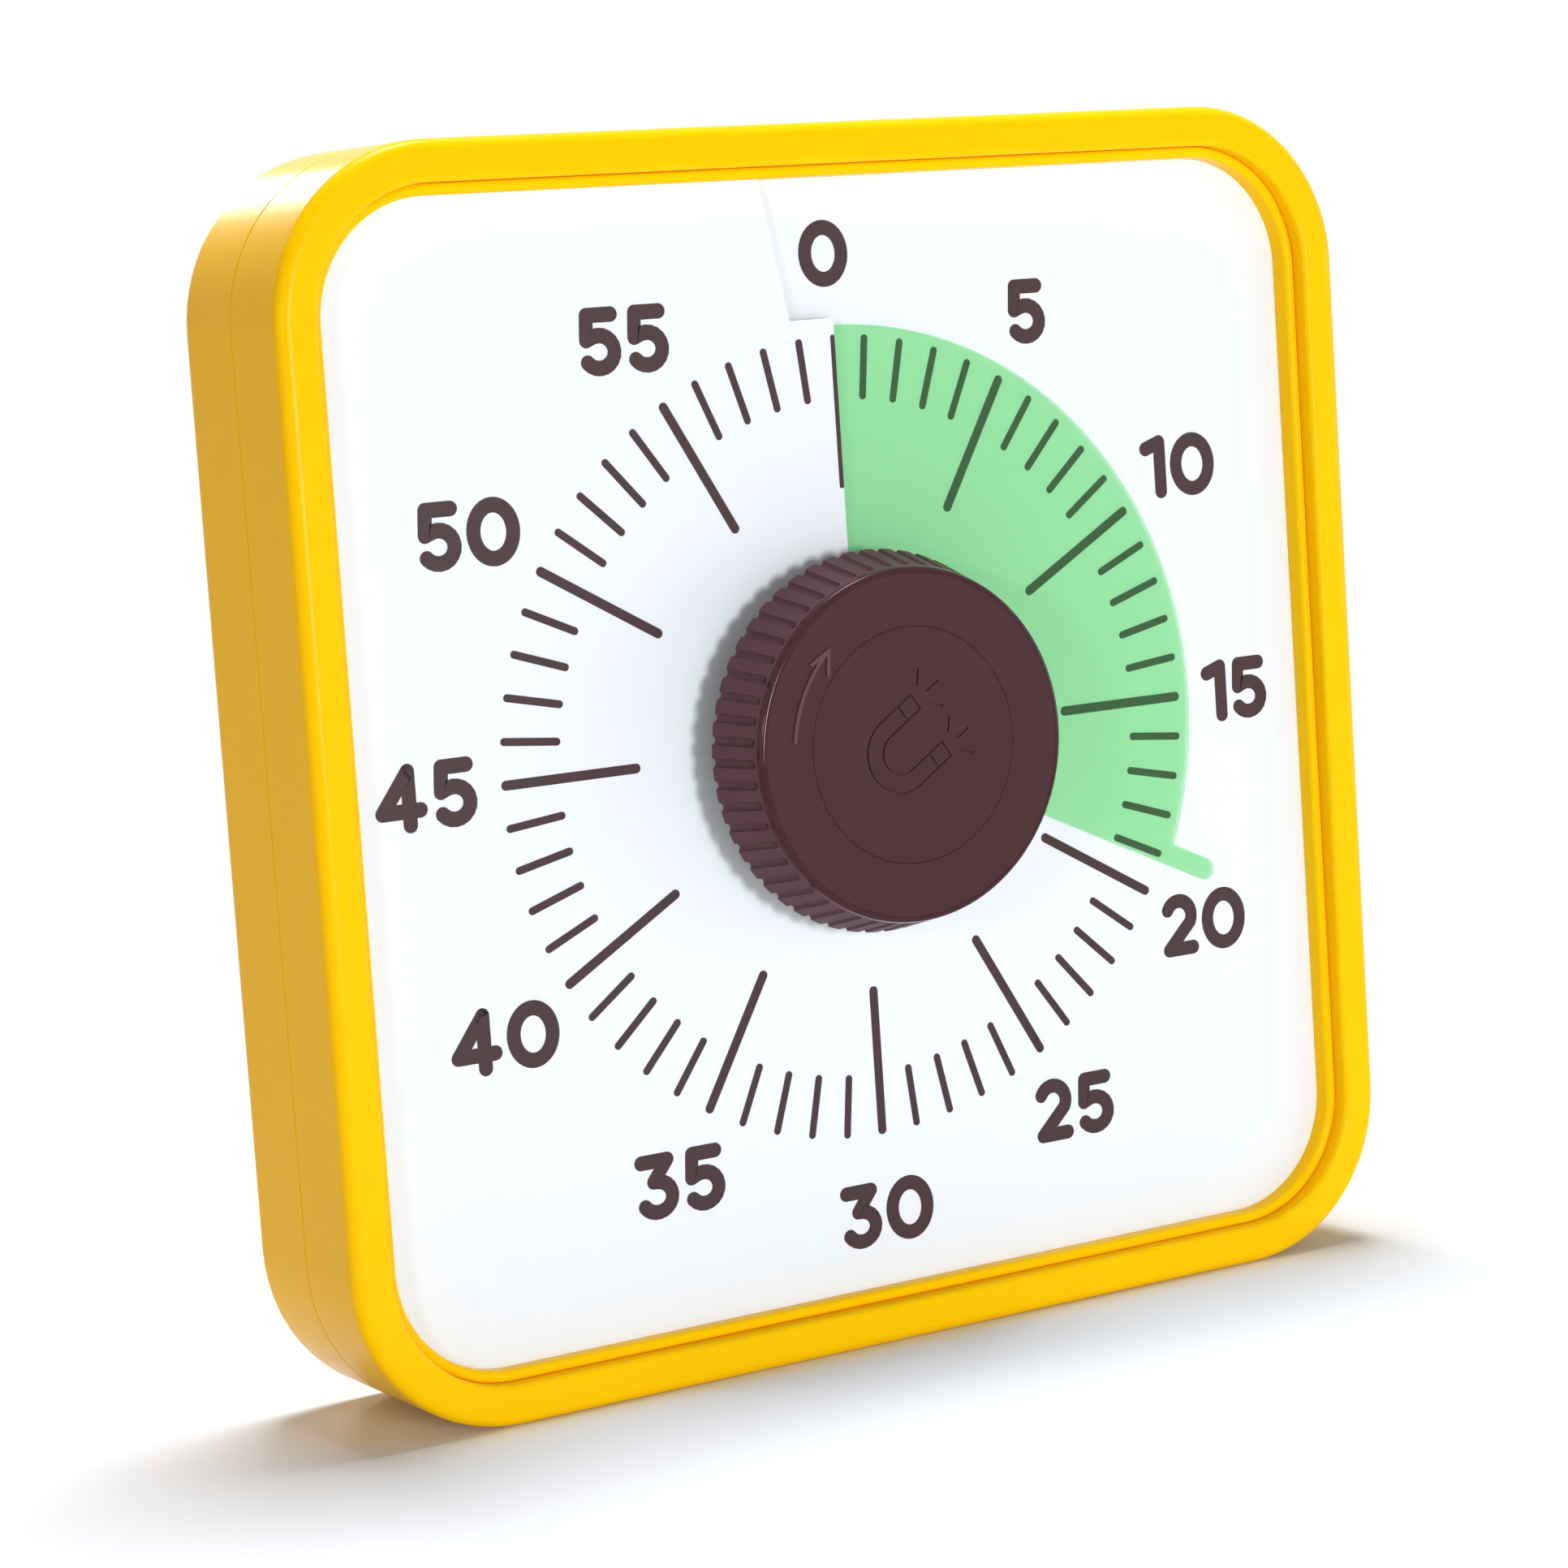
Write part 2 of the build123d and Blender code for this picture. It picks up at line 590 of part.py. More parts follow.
with BuildPart() as knob_body:
    with BuildSketch(facing(KNOB_BASE)):
        Circle(KNOB_BASE_RADIUS)
    with BuildSketch(facing(KNOB_FACE)):
        Circle(KNOB_FACE_RADIUS)
    loft()
    fillet(knob_body.faces().sort_by(Axis.Y)[0].edges(), radius=KNOB_EDGE_ROUND)
    with BuildSketch(facing(KNOB_BASE)):
        Circle(KNOB_BASE_RADIUS - KNOB_WALL)
    with BuildSketch(facing(KNOB_FACE - KNOB_ROOF)):
        Circle(KNOB_FACE_RADIUS - KNOB_WALL)
    loft(mode=Mode.SUBTRACT)
    with BuildSketch(facing(KNOB_BOSS_FOOT)):
        Circle(KNOB_BOSS_RADIUS)
    extrude(amount=ARBOR_TOP - KNOB_BOSS_FOOT + BOSS_OVERLAP)
    with BuildSketch(facing(KNOB_BOSS_FOOT)):
        Circle(ARBOR_RADIUS)
        Rectangle(2 * HUB_RADIUS, 2 * ARBOR_FLAT, mode=Mode.INTERSECT)
    extrude(amount=ARBOR_TOP - KNOB_BOSS_FOOT, mode=Mode.SUBTRACT)
    with BuildSketch(facing(KNOB_FACE)):
        Circle(CAP_RADIUS + CAP_GAP)
    extrude(amount=-CAP_THICKNESS, mode=Mode.SUBTRACT)
    with BuildSketch(facing(KNOB_FACE - CAP_THICKNESS)):
        Circle(SMALL_HEAD + HEAD_CLEARANCE)
    extrude(amount=-SMALL_HEAD_HEIGHT, mode=Mode.SUBTRACT)
    with BuildSketch(facing(KNOB_FACE)):
        Circle(SMALL_THREAD + THREAD_CLEARANCE)
    extrude(amount=-KNOB_ROOF, mode=Mode.SUBTRACT)
    with BuildSketch(facing(KNOB_FACE)):
        with BuildLine() as shaft:
            CenterArc((0, 0), ARROW_RADIUS, 90 - ARROW_START, ARROW_START - ARROW_END)
        arrow_tip = shaft.line @ 1
        trace(line_width=ARROW_WIDTH)
        with BuildLine() as barbs:
            for side in (-1, 1):
                PolarLine(arrow_tip, ARROW_BARB, ARROW_TWIST + 180 - ARROW_END + side * ARROW_SPREAD)
        trace(line_width=ARROW_WIDTH)
    extrude(amount=ARROW_RELIEF)
    with Locations(facing(KNOB_BASE)):
        with PolarLocations(0, FLUTES):
            add(flute.part, mode=Mode.SUBTRACT)

leg_end = ICON_LEG - ICON_SHIFT

with BuildPart() as knob_cap:
    with BuildSketch(facing(KNOB_FACE)):
        Circle(CAP_RADIUS)
    extrude(amount=-CAP_THICKNESS)
    with BuildSketch(bearing_plane(KNOB_FACE, ICON_TILT)):
        with Locations((-ICON_SHIFT, ICON_SIDE)):
            Circle(ICON_OUTER)
        with Locations((leg_end - ICON_LEG / 2, ICON_SIDE)):
            Rectangle(ICON_LEG, 2 * ICON_OUTER)
        with Locations((-ICON_SHIFT, ICON_SIDE)):
            Circle(ICON_OUTER - ICON_STROKE, mode=Mode.SUBTRACT)
        with Locations((leg_end - ICON_LEG / 2 - ICON_STROKE / 2, ICON_SIDE)):
            Rectangle(ICON_LEG - ICON_STROKE, 2 * (ICON_OUTER - ICON_STROKE), mode=Mode.SUBTRACT)
        with Locations((-ICON_SHIFT, ICON_SIDE)):
            Circle(ICON_INNER + ICON_STROKE)
        with Locations((leg_end - ICON_LEG / 2, ICON_SIDE)):
            Rectangle(ICON_LEG, 2 * (ICON_INNER + ICON_STROKE))
        with Locations((-ICON_SHIFT, ICON_SIDE)):
            Circle(ICON_INNER, mode=Mode.SUBTRACT)
        with Locations((leg_end - ICON_LEG / 2, ICON_SIDE)):
            Rectangle(ICON_LEG, 2 * ICON_INNER, mode=Mode.SUBTRACT)
        for side in (-1, 1):
            middle = ICON_SIDE + side * (ICON_INNER + ICON_OUTER) / 2
            with Locations((leg_end - ICON_POLE, middle)):
                Rectangle(ICON_STROKE, ICON_OUTER - ICON_INNER - ICON_STROKE)
            with Locations((leg_end, middle)):
                for turn in (-RAY_FAN, 0, RAY_FAN):
                    with PolarLocations((RAY_START + RAY_END) / 2, 1, start_angle=turn):
                        Rectangle(RAY_END - RAY_START, ICON_STROKE)
    extrude(amount=-ICON_DEPTH, mode=Mode.SUBTRACT)


# Arbor with its screw, bush and clutch


def screws(seat, places, thread_radius, head_radius, head_height, length, inward=1):
    """Cross-recessed screws on one seat plane; inward is the shank's direction."""
    with BuildPart() as fasteners:
        with BuildSketch(facing(seat)):
            with Locations(places):
                Circle(thread_radius)
        extrude(amount=inward * length)
        with BuildSketch(facing(seat)):
            with Locations(places):
                Circle(head_radius)
        extrude(amount=-inward * head_height)
        with BuildSketch(facing(seat - inward * head_height)):
            with Locations(places):
                Rectangle(2 * DRIVE_SHARE * head_radius, DRIVE_WIDTH)
                Rectangle(DRIVE_WIDTH, 2 * DRIVE_SHARE * head_radius)
        extrude(amount=inward * DRIVE_SHARE * head_height, mode=Mode.SUBTRACT)
    return fasteners.part


with BuildPart() as case_screws:
    add(screws(SCREW_SEAT, SCREW_PLACES, THREAD_RADIUS, HEAD_RADIUS, HEAD_HEIGHT, SCREW_LENGTH))

small_screw = (SMALL_THREAD, SMALL_HEAD, SMALL_HEAD_HEIGHT, SMALL_LENGTH)

with BuildPart() as movement_screws:
    add(screws(EAR_BACK, EAR_PLACES, *small_screw))

with BuildPart() as board_screws:
    add(screws(BOARD_TOP, POST_PLACES, *small_screw, inward=-1))

with BuildPart() as knob_screw:
    add(screws(KNOB_SCREW_SEAT, [(0, 0)], *small_screw, inward=-1))

with BuildPart() as knob_arbor:
    with BuildSketch(facing(ARBOR_SHOULDER)):
        Circle(ARBOR_RADIUS)
        Rectangle(2 * HUB_RADIUS, 2 * ARBOR_FLAT, mode=Mode.INTERSECT)
    extrude(amount=ARBOR_TOP - ARBOR_SHOULDER)
    with BuildSketch(facing(ARBOR_SHOULDER)):
        Circle(JOURNAL_RADIUS)
    extrude(amount=MOVEMENT_COVER + FIT - ARBOR_SHOULDER)
    with BuildSketch(facing(MOVEMENT_COVER + FIT)):
        Circle(PIVOT_RADIUS)
    extrude(amount=-PIVOT_LENGTH)
    with BuildSketch(facing(ARBOR_TOP)):
        Circle(SMALL_THREAD + PILOT_CLEARANCE)
    extrude(amount=-SMALL_LENGTH, mode=Mode.SUBTRACT)

with BuildPart() as arbor_bush:
    with BuildSketch(facing(MOVEMENT_ROOF)):
        Circle(BUSH_FLANGE_RADIUS)
    extrude(amount=-BUSH_FLANGE)
    with BuildSketch(facing(MOVEMENT_ROOF)):
        Circle(BUSH_RADIUS)
    extrude(amount=CARRIER_FRONT - MOVEMENT_ROOF)
    with BuildSketch(facing(CARRIER_FRONT)):
        Circle(JOURNAL_RADIUS + FIT)
    extrude(amount=MOVEMENT_ROOF - BUSH_FLANGE - CARRIER_FRONT, mode=Mode.SUBTRACT)

with BuildPart() as clutch_collar:
    with BuildSketch(facing(CENTRE_LOW - CLUTCH_HEIGHT)):
        Circle(COLLAR_RADIUS)
        Circle(JOURNAL_RADIUS, mode=Mode.SUBTRACT)
    extrude(amount=-COLLAR_HEIGHT)

with BuildPart() as clutch_spring:
    with BuildSketch(Plane(origin=(0, 0, CASE_SIZE / 2), x_dir=(1, 0, 0), z_dir=(0, 0, -1))):
        with BuildLine():
            Polyline(
                (JOURNAL_RADIUS + FIT, CENTRE_LOW - CLUTCH_HEIGHT),
                (CLUTCH_FOOT, CENTRE_LOW - CLUTCH_HEIGHT),
                (CLUTCH_RADIUS, CENTRE_LOW - CLUTCH_THICKNESS - FIT),
                (CLUTCH_RADIUS, CENTRE_LOW - FIT),
                (CLUTCH_FOOT, CENTRE_LOW - CLUTCH_HEIGHT + CLUTCH_THICKNESS),
                (JOURNAL_RADIUS + FIT, CENTRE_LOW - CLUTCH_HEIGHT + CLUTCH_THICKNESS),
                close=True,
            )
        make_face()
    revolve(axis=Axis((0, 0, CASE_SIZE / 2), (0, -1, 0)))


# Gear train

with BuildPart() as centre_wheel:
    with BuildSketch(facing(CENTRE_LOW)):
        toothed(CENTRE_TEETH, CENTRE_MODULE, THIRD_BEARING)
        web_holes(CENTRE_TEETH, CENTRE_MODULE, CENTRE_HOLES)
    extrude(amount=CENTRE_THICKNESS)
    with BuildSketch(facing(CENTRE_TOP)):
        Circle(COLLAR_RADIUS)
    extrude(amount=MOVEMENT_ROOF - BUSH_FLANGE - CENTRE_TOP - 2 * FIT)
    with BuildSketch(facing(CENTRE_LOW)):
        Circle(JOURNAL_RADIUS + FIT)
    extrude(amount=CENTRE_SETBACK, mode=Mode.SUBTRACT)


staff_low = MOVEMENT_COVER - PIVOT_LENGTH + FIT
staff_length = MOVEMENT_ROOF + PIVOT_LENGTH - FIT - staff_low

with BuildPart() as third_wheel:
    with BuildSketch(facing(THIRD_LOW)):
        with Locations(THIRD_PLACE):
            toothed(THIRD_TEETH, THIRD_MODULE, FOURTH_BEARING)
            web_holes(THIRD_TEETH, THIRD_MODULE, THIRD_HOLES)
    extrude(amount=WHEEL_THICKNESS)
    with BuildSketch(facing(THIRD_TOP)):
        with Locations(THIRD_PLACE):
            toothed(THIRD_PINION, CENTRE_MODULE, gap_bearing(THIRD_PINION, THIRD_BEARING + 180))
    extrude(amount=CENTRE_TOP - THIRD_TOP)
    with BuildSketch(facing(staff_low)):
        with Locations(THIRD_PLACE):
            Circle(STAFF_RADIUS)
    extrude(amount=staff_length)

with BuildPart() as fourth_wheel:
    with BuildSketch(facing(FOURTH_LOW)):
        with Locations(FOURTH_PLACE):
            toothed(FOURTH_TEETH, FOURTH_MODULE, ROTOR_BEARING)
            web_holes(FOURTH_TEETH, FOURTH_MODULE, FOURTH_HOLES)
    extrude(amount=WHEEL_THICKNESS)
    with BuildSketch(facing(FOURTH_TOP)):
        with Locations(FOURTH_PLACE):
            toothed(FOURTH_PINION, THIRD_MODULE, gap_bearing(FOURTH_PINION, FOURTH_BEARING + 180))
    extrude(amount=THIRD_TOP - FOURTH_TOP)
    with BuildSketch(facing(staff_low)):
        with Locations(FOURTH_PLACE):
            Circle(STAFF_RADIUS)
    extrude(amount=staff_length)

with BuildPart() as rotor:
    with BuildSketch(facing(STATOR_MIDDLE)):
        with Locations(ROTOR_PLACE):
            Circle(MAGNET_ROTOR_RADIUS)
    extrude(amount=MAGNET_ROTOR_HEIGHT / 2, both=True)
    with BuildSketch(facing(FOURTH_LOW)):
        with Locations(ROTOR_PLACE):
            toothed(ROTOR_PINION, FOURTH_MODULE, gap_bearing(ROTOR_PINION, ROTOR_BEARING + 180))
    extrude(amount=WHEEL_THICKNESS)
    with BuildSketch(facing(staff_low)):
        with Locations(ROTOR_PLACE):
            Circle(ROTOR_STAFF_RADIUS)
    extrude(amount=staff_length)


# Stepping motor: stator plate and coil

core_x = MOVEMENT_CENTRE[0] + MOVEMENT_WIDTH / 2 - MOVEMENT_WALL - CORE_SETBACK
stator_left = ROTOR_PLACE[0] - STATOR_LEFT
stator_right = core_x + CORE_WIDTH / 2
stator_place = ((stator_left + stator_right) / 2, ROTOR_PLACE[1])
window_left = stator_left + STATOR_BODY
window_right = core_x - CORE_WIDTH / 2
stake_x = (window_left + window_right) / 2
stake_z = (STATOR_TALL - STATOR_ARM) / 2
STAKE_PLACES = [(stake_x, ROTOR_PLACE[1] + side * stake_z) for side in (-1, 1)]

with BuildPart() as stator:
    with BuildSketch(facing(STATOR_LOW)):
        with Locations(stator_place):
            Rectangle(stator_right - stator_left, STATOR_TALL)
        with Locations((stake_x, ROTOR_PLACE[1])):
            Rectangle(window_right - window_left, STATOR_TALL - 2 * STATOR_ARM, mode=Mode.SUBTRACT)
        with Locations(ROTOR_PLACE):
            Circle(MAGNET_ROTOR_RADIUS + STATOR_AIR_GAP, mode=Mode.SUBTRACT)
        with Locations(STAKE_PLACES):
            Circle(STAFF_RADIUS, mode=Mode.SUBTRACT)
    extrude(amount=STATOR_THICKNESS)

with BuildPart() as coil:
    with Locations(facing(STATOR_MIDDLE)):
        with Locations((core_x, ROTOR_PLACE[1])):
            Box(COIL_WIDTH, COIL_LENGTH, COIL_TALL)
    fillet(coil.edges().filter_by(Axis.Z), radius=COIL_EDGE)
    with Locations(facing(STATOR_MIDDLE)):
        with Locations((core_x, ROTOR_PLACE[1])):
            Box(CORE_WIDTH, COIL_LENGTH, STATOR_THICKNESS, mode=Mode.SUBTRACT)


# Movement housing

with BuildPart() as movement_front:
    with BuildSketch(facing(MOVEMENT_COVER)):
        with Locations(MOVEMENT_CENTRE):
            RectangleRounded(MOVEMENT_WIDTH, MOVEMENT_TALL, MOVEMENT_CORNER)
    extrude(amount=MOVEMENT_FACE - MOVEMENT_COVER)
    with BuildSketch(facing(MOVEMENT_COVER)):
        with Locations(MOVEMENT_CENTRE):
            RectangleRounded(
                MOVEMENT_WIDTH - 2 * MOVEMENT_WALL,
                MOVEMENT_TALL - 2 * MOVEMENT_WALL,
                MOVEMENT_CORNER - MOVEMENT_WALL,
            )
    extrude(amount=MOVEMENT_ROOF - MOVEMENT_COVER, mode=Mode.SUBTRACT)
    with BuildSketch(facing(EAR_BACK)):
        with Locations(EAR_PLACES):
            Circle(EAR_RADIUS)
        with Locations(MOVEMENT_CENTRE):
            with GridLocations(MOVEMENT_WIDTH + EAR_REACH - EAR_BITE, 2 * EAR_Z, 2, 2):
                Rectangle(EAR_REACH + EAR_BITE, 2 * EAR_RADIUS)
        with Locations(EAR_PLACES):
            Circle(SMALL_THREAD + THREAD_CLEARANCE, mode=Mode.SUBTRACT)
    extrude(amount=EAR_THICKNESS)
    with BuildSketch(facing(MOVEMENT_ROOF)):
        with Locations(STAFF_PLACES):
            Circle(STAFF_RADIUS + FIT)
        with Locations(ROTOR_PLACE):
            Circle(ROTOR_STAFF_RADIUS + FIT)
    extrude(amount=PIVOT_LENGTH, mode=Mode.SUBTRACT)
    with BuildSketch(facing(MOVEMENT_ROOF)):
        Circle(BUSH_RADIUS)
    extrude(amount=MOVEMENT_PLATE, mode=Mode.SUBTRACT)
    with BuildSketch(facing(MOVEMENT_COVER)):
        with Locations((COIL_LEAD_X, MOVEMENT_CENTRE[1] + MOVEMENT_TALL / 2)):
            Rectangle(COIL_NOTCH, 2 * (MOVEMENT_WALL + NOTCH_SPARE))
    extrude(amount=STATOR_MIDDLE + COIL_NOTCH / 2 - MOVEMENT_COVER, mode=Mode.SUBTRACT)

with BuildPart() as movement_rear:
    with BuildSketch(facing(MOVEMENT_COVER)):
        with Locations(MOVEMENT_CENTRE):
            RectangleRounded(MOVEMENT_WIDTH, MOVEMENT_TALL, MOVEMENT_CORNER)
    extrude(amount=-MOVEMENT_PLATE)
    with BuildSketch(facing(MOVEMENT_COVER)):
        with Locations(STAKE_PLACES):
            Circle(STATOR_ARM / 2)
    extrude(amount=STATOR_LOW - MOVEMENT_COVER)
    with BuildSketch(facing(STATOR_LOW)):
        with Locations(STAKE_PLACES):
            Circle(STAFF_RADIUS)
    extrude(amount=STATOR_THICKNESS)
    with BuildSketch(facing(MOVEMENT_COVER)):
        with Locations(STAFF_PLACES):
            Circle(STAFF_RADIUS + FIT)
        with Locations(ROTOR_PLACE):
            Circle(ROTOR_STAFF_RADIUS + FIT)
        Circle(PIVOT_RADIUS + FIT)
    extrude(amount=-PIVOT_LENGTH, mode=Mode.SUBTRACT)


# Dial carrier: pan behind the card, with a border and a ring topped by the ramp

with BuildPart() as card_bed:
    for half in (0, 180):
        add(
            ramp(
                back=-CARD_THICKNESS - CARD_GAP,
                front=RAMP_RISE + LEDGE_SETBACK,
                inner=CARRIER_RING_RADIUS / 2,
                outer=CASE_SIZE,
                start=half - TONGUE_ANGLE,
                turn=180,
            )
        )

with BuildPart() as dial_carrier:
    with BuildSketch(facing(CARRIER_BACK)):
        case_outline(WINDOW_BORDER + CARRIER_INSET)
        with Locations(SCREW_PLACES):
            Rectangle(2 * TOWER_RADIUS + CARRIER_WALL, 2 * TOWER_RADIUS)
        case_outline(SHELL_WALL + EAR_CLEARANCE, mode=Mode.INTERSECT)
        Circle(BUSH_RADIUS, mode=Mode.SUBTRACT)
        with Locations(SCREW_PLACES):
            Circle(THREAD_RADIUS + THREAD_CLEARANCE, mode=Mode.SUBTRACT)
    extrude(amount=CARRIER_PLATE)
    with BuildSketch(facing(CARRIER_FRONT)):
        case_outline(WINDOW_BORDER + CARRIER_INSET)
        case_outline(WINDOW_BORDER + CARRIER_INSET + CARRIER_WALL, mode=Mode.SUBTRACT)
        Circle(CARRIER_RING_RADIUS + CARRIER_WALL)
        Circle(CARRIER_RING_RADIUS, mode=Mode.SUBTRACT)
    extrude(amount=DIAL + RAMP_RISE / 2 - CARRIER_FRONT)
    add(card_bed.part, mode=Mode.SUBTRACT)
    with BuildSketch(facing(CARRIER_BACK)):
        with Locations(EAR_PLACES):
            Circle(PILLAR_RADIUS)
    extrude(amount=-PILLAR_HEIGHT)
    with BuildSketch(facing(EAR_FRONT)):
        with Locations(EAR_PLACES):
            Circle(SMALL_THREAD + PILOT_CLEARANCE)
    extrude(amount=SMALL_LENGTH - EAR_THICKNESS + PILOT_CLEARANCE, mode=Mode.SUBTRACT)


# Rear shell with battery bay, screw towers, magnet pockets, slider slot and sound holes

contact_x = (BAY_LENGTH - CONTACT_THICKNESS) / 2
hinge_z = CASE_SIZE / 2 - BAY_DROP - DOOR_HOLE_TALL / 2
hook_middle = DOOR_HOOK_RADIUS + DOOR_HOOK_THICKNESS / 2
slot_width = DOOR_HOOK_WIDTH + 2 * DOOR_CLEARANCE


def hinge_planes(width):
    """Planes at one side of both hooks, across the hinge line, with X straight inward and Y down."""
    starts = [side * DOOR_HOOK_SPREAD - width / 2 for side in (-1, 1)]
    return [Plane(origin=(x, -BACK, hinge_z), x_dir=(0, -1, 0), z_dir=(1, 0, 0)) for x in starts]


with BuildPart() as rear_shell:
    with BuildSketch(facing(BACK)):
        case_outline(0)
    extrude(amount=SEAM - BACK)
    fillet(rear_shell.faces().sort_by(Axis.Y)[-1].edges(), radius=BACK_ROUND)
    chamfer(rear_shell.faces().sort_by(Axis.Y)[0].edges(), length=SEAM_CHAMFER)
    with BuildSketch(facing(FLOOR)):
        case_outline(SHELL_WALL)
    extrude(amount=SEAM - FLOOR, mode=Mode.SUBTRACT)
    with BuildSketch(facing(SEAM - LIP_ROOT)):
        case_outline(SHELL_WALL - BOSS_OVERLAP)
        case_outline(SHELL_WALL + LIP_CLEARANCE + LIP_WALL, mode=Mode.SUBTRACT)
    extrude(amount=LIP_ROOT)
    with BuildSketch(facing(SEAM)):
        case_outline(SHELL_WALL + LIP_CLEARANCE)
        case_outline(SHELL_WALL + LIP_CLEARANCE + LIP_WALL, mode=Mode.SUBTRACT)
    extrude(amount=LIP_RISE)
    with BuildSketch(facing(FLOOR)):
        with Locations(SCREW_PLACES):
            Circle(TOWER_RADIUS)
    extrude(amount=SEAM - FLOOR)
    with BuildSketch(facing(SEAM)):
        with Locations(SCREW_PLACES):
            Circle(TOWER_RADIUS)
        case_outline(SHELL_WALL + LIP_CLEARANCE, mode=Mode.INTERSECT)
    extrude(amount=CARRIER_BACK - SEAM)
    with BuildSketch(facing(BACK)):
        with Locations(SCREW_PLACES):
            Circle(HEAD_RADIUS + HEAD_CLEARANCE)
    extrude(amount=SCREW_SEAT - BACK, mode=Mode.SUBTRACT)
    with BuildSketch(facing(SCREW_SEAT)):
        with Locations(SCREW_PLACES):
            Circle(THREAD_RADIUS + THREAD_CLEARANCE)
    extrude(amount=CARRIER_BACK - SCREW_SEAT, mode=Mode.SUBTRACT)
    with BuildSketch(facing(FLOOR)):
        with Locations(MAGNET_PLACES):
            Circle(MAGNET_RADIUS + MAGNET_GAP + MAGNET_WALL)
    extrude(amount=MAGNET_SETBACK + MAGNET_THICKNESS + MAGNET_WALL - SHELL_WALL)
    with BuildSketch(facing(BACK)):
        with Locations(MAGNET_PLACES):
            Circle(MAGNET_RADIUS + MAGNET_GAP)
    extrude(amount=MAGNET_SETBACK + MAGNET_THICKNESS, mode=Mode.SUBTRACT)
    with BuildSketch(facing(FLOOR)):
        with Locations((0, -BAY_DROP)):
            Rectangle(BAY_LENGTH + 2 * BAY_WALL, BAY_TALL + 2 * BAY_WALL)
    extrude(amount=BAY_TOP + BAY_ROOF - FLOOR)
    with BuildSketch(*hinge_planes(slot_width)):
        Circle(DOOR_HOOK_RADIUS - DOOR_HOOK_GAP)
        Rectangle(BAY_TALL, BAY_TALL, align=(Align.MIN, Align.CENTER), mode=Mode.INTERSECT)
    extrude(amount=slot_width)
    with BuildSketch(facing(BACK)):
        with Locations((0, -BAY_DROP)):
            Rectangle(BAY_LENGTH, BAY_TALL)
    extrude(amount=BAY_TOP - BACK, mode=Mode.SUBTRACT)
    with BuildSketch(facing(BACK)):
        with Locations((0, -BAY_DROP)):
            RectangleRounded(DOOR_HOLE_WIDTH, DOOR_HOLE_TALL, DOOR_CORNER)
    extrude(amount=DOOR_THICKNESS, mode=Mode.SUBTRACT)
    with BuildSketch(facing(BACK)):
        with Locations((0, -BAY_DROP + DOOR_HOLE_TALL / 2)):
            Circle(FINGER_RADIUS)
    extrude(amount=FINGER_DEPTH, mode=Mode.SUBTRACT)
    with BuildSketch(*hinge_planes(slot_width)):
        with BuildLine():
            CenterArc((0, 0), hook_middle, -90, 90 + DOOR_HOOK_UNDER + DOOR_HOOK_ROOM)
        trace(line_width=DOOR_HOOK_THICKNESS + 2 * DOOR_HOOK_GAP)
    extrude(amount=slot_width, mode=Mode.SUBTRACT)
    with BuildSketch(facing(BAY_TOP)):
        with Locations([(side * contact_x, -BAY_DROP) for side in (-1, 1)]):
            Rectangle(CONTACT_THICKNESS + CONTACT_SLOT_GAP, CONTACT_TAB + CONTACT_SLOT_GAP)
    extrude(amount=BAY_ROOF, mode=Mode.SUBTRACT)
    with BuildSketch(facing(FLOOR)):
        with Locations(POST_PLACES):
            Circle(BOARD_POST_RADIUS)
    extrude(amount=BOARD_STANDOFF)
    with BuildSketch(facing(BOARD_LOW)):
        with Locations(POST_PLACES):
            Circle(SMALL_THREAD + PILOT_CLEARANCE)
    extrude(amount=BOARD_THICKNESS - SMALL_LENGTH - PILOT_CLEARANCE, mode=Mode.SUBTRACT)
    with BuildSketch(facing(BACK)):
        with Locations((0, BOARD_RISE)):
            Rectangle(
                SLIDER_WIDTH + 2 * (SLIDER_TRAVEL + SLIDER_CLEARANCE),
                SLIDER_TALL + 2 * SLIDER_CLEARANCE,
            )
    extrude(amount=SLIDER_RECESS, mode=Mode.SUBTRACT)
    with BuildSketch(facing(BACK)):
        with Locations((0, BOARD_RISE)):
            Rectangle(
                STEM_WIDTH + 2 * (SLIDER_TRAVEL + SLIDER_CLEARANCE),
                STEM_TALL + 2 * SLIDER_CLEARANCE,
            )
    extrude(amount=SHELL_WALL, mode=Mode.SUBTRACT)
    with BuildSketch(facing(FLOOR)):
        with Locations(BUZZER_PLACE):
            Circle(BUZZER_RADIUS + BUZZER_WALL)
            Circle(BUZZER_RADIUS, mode=Mode.SUBTRACT)
    extrude(amount=BUZZER_RIM)
    with BuildSketch(facing(BACK)):
        with Locations(BUZZER_PLACE):
            Circle(SOUND_HOLE_RADIUS)
            for ring in range(SOUND_RINGS):
                with PolarLocations((ring + 1) * SOUND_RING_PITCH, (ring + 1) * SOUND_RING_HOLES):
                    Circle(SOUND_HOLE_RADIUS)
    extrude(amount=SHELL_WALL, mode=Mode.SUBTRACT)

with BuildPart() as back_magnets:
    with BuildSketch(facing(BACK + MAGNET_SETBACK)):
        with Locations(MAGNET_PLACES):
            Circle(MAGNET_RADIUS)
    extrude(amount=MAGNET_THICKNESS)


# Battery, contacts and door


def across(x):
    """Plane across the cell's axis, this far to the right of the middle."""
    return Plane(origin=(x, -CELL_LEVEL, CASE_SIZE / 2 - BAY_DROP), x_dir=(0, 0, 1), z_dir=(1, 0, 0))


plate_face = BAY_LENGTH / 2 - CONTACT_THICKNESS
cell_right = plate_face - CELL_NUB
cell_left = cell_right - CELL_LENGTH

